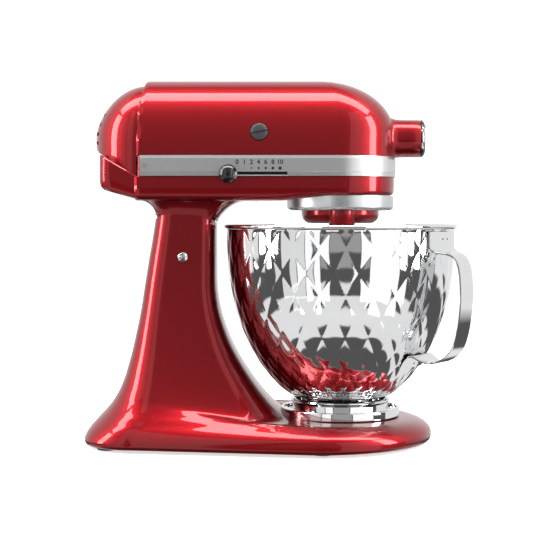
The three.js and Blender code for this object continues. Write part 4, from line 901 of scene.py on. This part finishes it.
def handle_path():
    """The strap's middle line as [radius, height, half width, share wrapped round the bowl]."""
    r, top, bottom = 135.8, 196.0, 84.0
    skin = 1.6
    keys = [(bowl_radius(top + 9) + skin, top + 9.5, 27, 1), (bowl_radius(top) + skin, top - 2, 27, 1),
            (bowl_radius(top - 6) + skin + 0.5, top - 6.5, 26.5, 1), (116.5, top - 9.8, 23, 0.55),
            (121.5, top - 11.0, 17, 0.1), (r - 8.5, top - 13.5, 13.6, 0), (r - 3.4, top - 20, 13.25, 0),
            (r - 0.8, top - 32, 13.25, 0), (r, top - 50, 13.25, 0), (r - 1.2, bottom + 46, 13.25, 0),
            (r - 4.2, bottom + 27, 13.25, 0), (r - 9.5, bottom + 12, 13.25, 0),
            (r - 18, bottom + 3.0, 13.25, 0), (r - 29, bottom - 1.5, 14, 0),
            (98.0, bottom - 0.5, 17, 0.3), (bowl_radius(bottom + 5) + skin + 2.4, bottom + 4.2, 21, 0.8),
            (bowl_radius(bottom + 2) + skin, bottom + 1.5, 22, 1),
            (bowl_radius(bottom - 7) + skin, bottom - 7, 22, 1)]
    return np.array(smooth_stations(keys, 8))


def make_handle():
    """A bent steel strap with rolled edges, widening at each end into a pad that lies on the bowl."""
    rows = handle_path()
    path = rows[:, :2]
    tangent = np.gradient(path, axis=0)
    normal = np.column_stack([-tangent[:, 1], tangent[:, 0]])
    normal /= np.linalg.norm(normal, axis=1)[:, None]
    section = [(-1, 0.0), (-0.97, 0.9), (-0.86, 1.1)] + [(k / 10, 0.85) for k in range(-7, 8)]
    section += [(0.86, 1.1), (0.97, 0.9), (1, 0.0), (0.97, -0.8), (0.86, -0.8)]
    section += [(k / 10, -0.8) for k in range(7, -8, -1)] + [(-0.86, -0.8), (-0.97, -0.8)]
    points = []
    for (r, z, half, wrap), (nr, nz) in zip(rows, normal):
        for y, out in section:
            radial, height = r - nr * out, z - nz * out
            turn = HANDLE_TURN + y * half / r
            curved = np.array([radial * math.cos(turn), radial * math.sin(turn)])
            flat = np.array([radial * math.cos(HANDLE_TURN) - y * half * math.sin(HANDLE_TURN),
                             radial * math.sin(HANDLE_TURN) + y * half * math.cos(HANDLE_TURN)])
            x, across = wrap * curved + (1 - wrap) * flat
            points.append((x, across, height))
    count = len(section)
    faces = grid_faces(len(path), count)
    faces += [tuple(range(count)), tuple(range((len(path) - 1) * count, len(path) * count))]
    handle = make_object("handle_strap", points, faces, MATERIALS[STEEL], 45)
    dress(handle, "bowl_body", STEEL, "bowl_handle")
    for name, z, lean in (("upper", 198.5, 0.0), ("lower", 80.5, math.radians(38))):
        for side in (-1, 1):
            turn = HANDLE_TURN + side * 4.6 / bowl_radius(z)
            r = bowl_radius(z) + 2.55
            weld = lathe("weld", [(0.01, 0.25), (0.7, 0.2), (1.1, -0.2), (1.1, -0.6), (0.01, -0.6)],
                         MATERIALS[GREY], 16, closed=False)
            tidy_normals(weld)
            shift = Matrix.Translation(Vector((AXIS_X, 0, 0)))
            turned = Matrix.Rotation(turn, 4, "Z") @ Matrix.Translation((r * MM, 0, z * MM)) \
                @ Matrix.Rotation(math.radians(90) + lean, 4, "Y")
            weld.data.transform(shift @ turned @ shift.inverted())
            weld.name = f"weld_{name}_{side}"
            dress(weld, "bowl_body", MACHINED)


CLAMP_LO, CLAMP_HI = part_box("clamp_plate")


def make_clamp_plate():
    """The turned ring the bowl locks into, with three inward hooks."""
    outer = (CLAMP_HI.y - CLAMP_LO.y) / 2 * 1000
    low, top = CLAMP_LO.z * 1000, CLAMP_HI.z * 1000
    inner, corner = outer - 3.2, 1.5
    profile = [(12, low), (outer - 0.6, low), (outer, low + 0.6)]
    for k in range(7):
        turn = math.radians(15 * k)
        profile.append((outer - corner * (1 - math.cos(turn)), top - corner * (1 - math.sin(turn))))
    profile += [(inner + 0.4, top), (inner, top - 0.4), (inner, low + 3.1), (inner - 0.6, low + 2.5),
                (12, low + 2.5)]
    plate = lathe("clamp_ring", profile, MATERIALS[STEEL], 160)
    tidy_normals(plate)
    dress(plate, "base", MACHINED, "clamp_plate")
    section = [(inner - 3.0, top - 2), (inner + 0.6, top - 2), (inner + 0.6, top - 0.2),
               (inner - 2.6, top - 0.2), (inner - 3.0, top - 0.6)]
    for side in range(3):
        middle = HANDLE_TURN + math.radians(120) * side
        turns = np.linspace(middle - math.radians(22), middle + math.radians(22), 25)
        points = [(r * math.cos(t), r * math.sin(t), z) for t in turns for r, z in section]
        faces = grid_faces(len(turns), len(section))
        faces += [tuple(range(len(section))), tuple(range((len(turns) - 1) * len(section),
                                                          len(turns) * len(section)))]
        hook = make_object(f"clamp_hook_{side + 1}", points, faces, MATERIALS[STEEL], 32)
        tidy_normals(hook)
        dress(hook, "base", MACHINED)


# ------------------------------------------------------------------ small parts
def make_hinge_ends():
    lo, hi = (local(v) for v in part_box("hinge_pin"))
    for name, side, outer in (("near", -1, abs(lo.y)), ("far", 1, abs(hi.y))):
        r, crown = 4.8, 2.6
        profile = [(0.01, outer)]
        for turn in np.radians(np.linspace(10, 90, 9)):
            profile.append((r * math.sin(turn), outer - crown + crown * math.cos(turn)))
        profile += [(r, outer - 4), (0.01, outer - 4)]
        dome = lathe_y("hinge_pin_cap_" + name, profile, MATERIALS[STEEL], HINGE_X, HINGE_Z, side, 48,
                       False, 50)
        tidy_normals(dome)
        dress(dome, "base", STEEL)


def make_feet():
    for k in range(1, 6):
        lo, hi = (local(v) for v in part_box(f"foot_{k}"))
        x, y, r = (lo.x + hi.x) / 2, (lo.y + hi.y) / 2, (hi.x - lo.x) / 2
        profile = [(0.01, 0.0), (r - 2.4, 0.0), (r - 1.6, 0.3), (r - 0.3, 2.2), (r, 3.0), (0.01, 3.0)]
        foot = lathe(f"rubber_foot_{k}", profile, MATERIALS[RUBBER], 48, (x, y), False)
        tidy_normals(foot)
        dress(foot, "base", RUBBER, f"foot_{k}")


def carry_over():
    """Bevelled copies of the small machined and moulded nodes that show, and materials for every node."""
    slots = {s["node"]: s["material_slot"] for s in frame["record"]["subparts"]}
    for name, node in frame["nodes"].items():
        material = MATERIALS[slots[name]]
        node.data.materials.clear()
        node.data.materials.append(material)
        shade(node, 32)
    for name, width in (("flat_beater", 1.2), ("lock_lever", 0.5), ("attachment_knob", 0.7),
                        ("beater_shaft", 0.3), ("cord_gland", 0.3)):
        node = frame["nodes"][name]
        copy = bpy.data.objects.new(name + "_finish", node.data.copy())
        bpy.context.scene.collection.objects.link(copy)
        bevel(copy, width, 3)
        body = next(b for b, ns in frame["record"]["behaviour"]["bodies"].items() if name in ns)
        dress(copy, body, slots[name], name)


# ------------------------------------------------------------------ studio
def area_light(name, location, target, size, power, colour=(1, 1, 1)):
    data = bpy.data.lights.new(name, "AREA")
    data.shape = "RECTANGLE"
    data.size, data.size_y = size
    data.energy = power
    data.color = colour
    lamp = bpy.data.objects.new(name, data)
    bpy.context.scene.collection.objects.link(lamp)
    lamp.location = location
    lamp.rotation_euler = (Vector(target) - Vector(location)).to_track_quat("-Z", "Y").to_euler()
    return lamp


def make_studio():
    edge = 6000
    floor = make_object("studio_floor", [(-edge, -edge, 0), (edge, -edge, 0), (edge, edge, 0),
                                         (-edge, edge, 0)], [(0, 1, 2, 3)], MATERIALS[BLACK])
    paper, tree, shader = new_material("studio_paper", Roughness=0.9)
    shades = ramp(tree, noise(tree, 3), (0.86, 0.86, 0.86, 1), (0.88, 0.88, 0.88, 1))
    tree.links.new(shades, shader.inputs["Base Color"])
    floor.data.materials.clear()
    floor.data.materials.append(paper)
    shader.inputs["Emission Color"].default_value = (1, 1, 1, 1)
    shader.inputs["Emission Strength"].default_value = 0.62
    floor.visible_glossy = False
    floor.visible_diffuse = False
    make_world()
    left, right, up = math.radians(78), math.radians(73), 1.45
    for name, azimuth, side in (("left_softbox", left, -1), ("right_softbox", right, 1)):
        away = Vector((side * math.sin(azimuth), -math.cos(azimuth), 0)) * 1.5
        area_light(name, Vector((0, 0, 0.62)) + away, (0, 0, 0.3), (0.42, 1.35), 24)
    area_light("overhead_softbox", (0.0, -0.2, up), (0, -0.02, 0.3), (2.7, 0.45), 48)
    bpy.context.scene.view_settings.view_transform = "Standard"


def make_world():
    """Grey and white panels round the front, a dark gap low down, and plain white to the camera."""
    world = bpy.data.worlds.new("studio")
    world.use_nodes = True
    tree = world.node_tree
    nodes, links = tree.nodes, tree.links
    source = nodes.new("ShaderNodeTexCoord")
    split = nodes.new("ShaderNodeSeparateXYZ")
    links.new(source.outputs["Generated"], split.inputs["Vector"])

    def maths(operation, first, second=None):
        node = nodes.new("ShaderNodeMath")
        node.operation = operation
        for socket, value in zip(node.inputs, (first, second)):
            if isinstance(value, (int, float)):
                socket.default_value = value
            elif value is not None:
                links.new(value, socket)
        return node.outputs["Value"]

    def window(value, low, high, soft):
        rise = nodes.new("ShaderNodeMapRange")
        fall = nodes.new("ShaderNodeMapRange")
        for node, start, end in ((rise, low - soft, low + soft), (fall, high + soft, high - soft)):
            node.interpolation_type = "SMOOTHSTEP"
            node.inputs["From Min"].default_value = start
            node.inputs["From Max"].default_value = end
            links.new(value, node.inputs["Value"])
        return maths("MULTIPLY", rise.outputs["Result"], fall.outputs["Result"])

    away = maths("MULTIPLY", split.outputs["Y"], -1.0)
    azimuth = maths("MULTIPLY", maths("ARCTAN2", split.outputs["X"], away), 180 / math.pi)
    height = maths("MULTIPLY", maths("ARCSINE", split.outputs["Z"]), 180 / math.pi)
    glow = 0.1
    # Each panel: azimuth from, azimuth to, elevation from, elevation to, in degrees, and how bright it is.
    panels = ((-62, -40, -25, 40, 0.75), (-38, -20, -30, 55, 1.1), (22, 64, -30, 50, 1.15),
              (95, 250, -10, 60, 0.8), (-250, -95, -10, 60, 0.8), (-180, 180, -47, -24, 0.8),
              (-180, 180, -90, -79, 0.4), (-18, 20, -8, 60, 0.28))
    for low, high, bottom, top, level in panels:
        patch = maths("MULTIPLY", window(azimuth, low, high, 0.6), window(height, bottom, top, 1.5))
        glow = maths("ADD", glow, maths("MULTIPLY", patch, level))
    camera_ray = nodes.new("ShaderNodeLightPath").outputs["Is Camera Ray"]
    unseen = maths("MULTIPLY", glow, maths("SUBTRACT", 1.0, camera_ray))
    strength = maths("ADD", maths("MULTIPLY", camera_ray, 1.2), unseen)
    links.new(strength, nodes["Background"].inputs["Strength"])
    nodes["Background"].inputs["Color"].default_value = (1, 1, 1, 1)
    bpy.context.scene.world = world


def make_camera():
    data = bpy.data.cameras.new("view")
    distance, eye, field = 1.350, 0.221, 0.5357
    data.sensor_width = 36
    data.lens = 36 * distance / field
    data.shift_y = -0.1055
    camera = bpy.data.objects.new("view", data)
    bpy.context.scene.collection.objects.link(camera)
    camera.location = (AXIS_X - 0.0664, -distance, eye)
    camera.rotation_euler = (math.radians(90), 0, 0)
    bpy.context.scene.camera = camera


make_camera()
make_studio()
carry_over()
make_stand()
make_head_lower()
make_tongue()
make_head_upper()
make_rear_cover()
make_rear_block()
make_band()
make_scale()
make_knob()
make_brush_caps()
make_hub()
make_drip_ring()
make_planetary()
make_bowl()
make_bowl_foot()
make_handle()
make_clamp_plate()
make_hinge_ends()
make_feet()
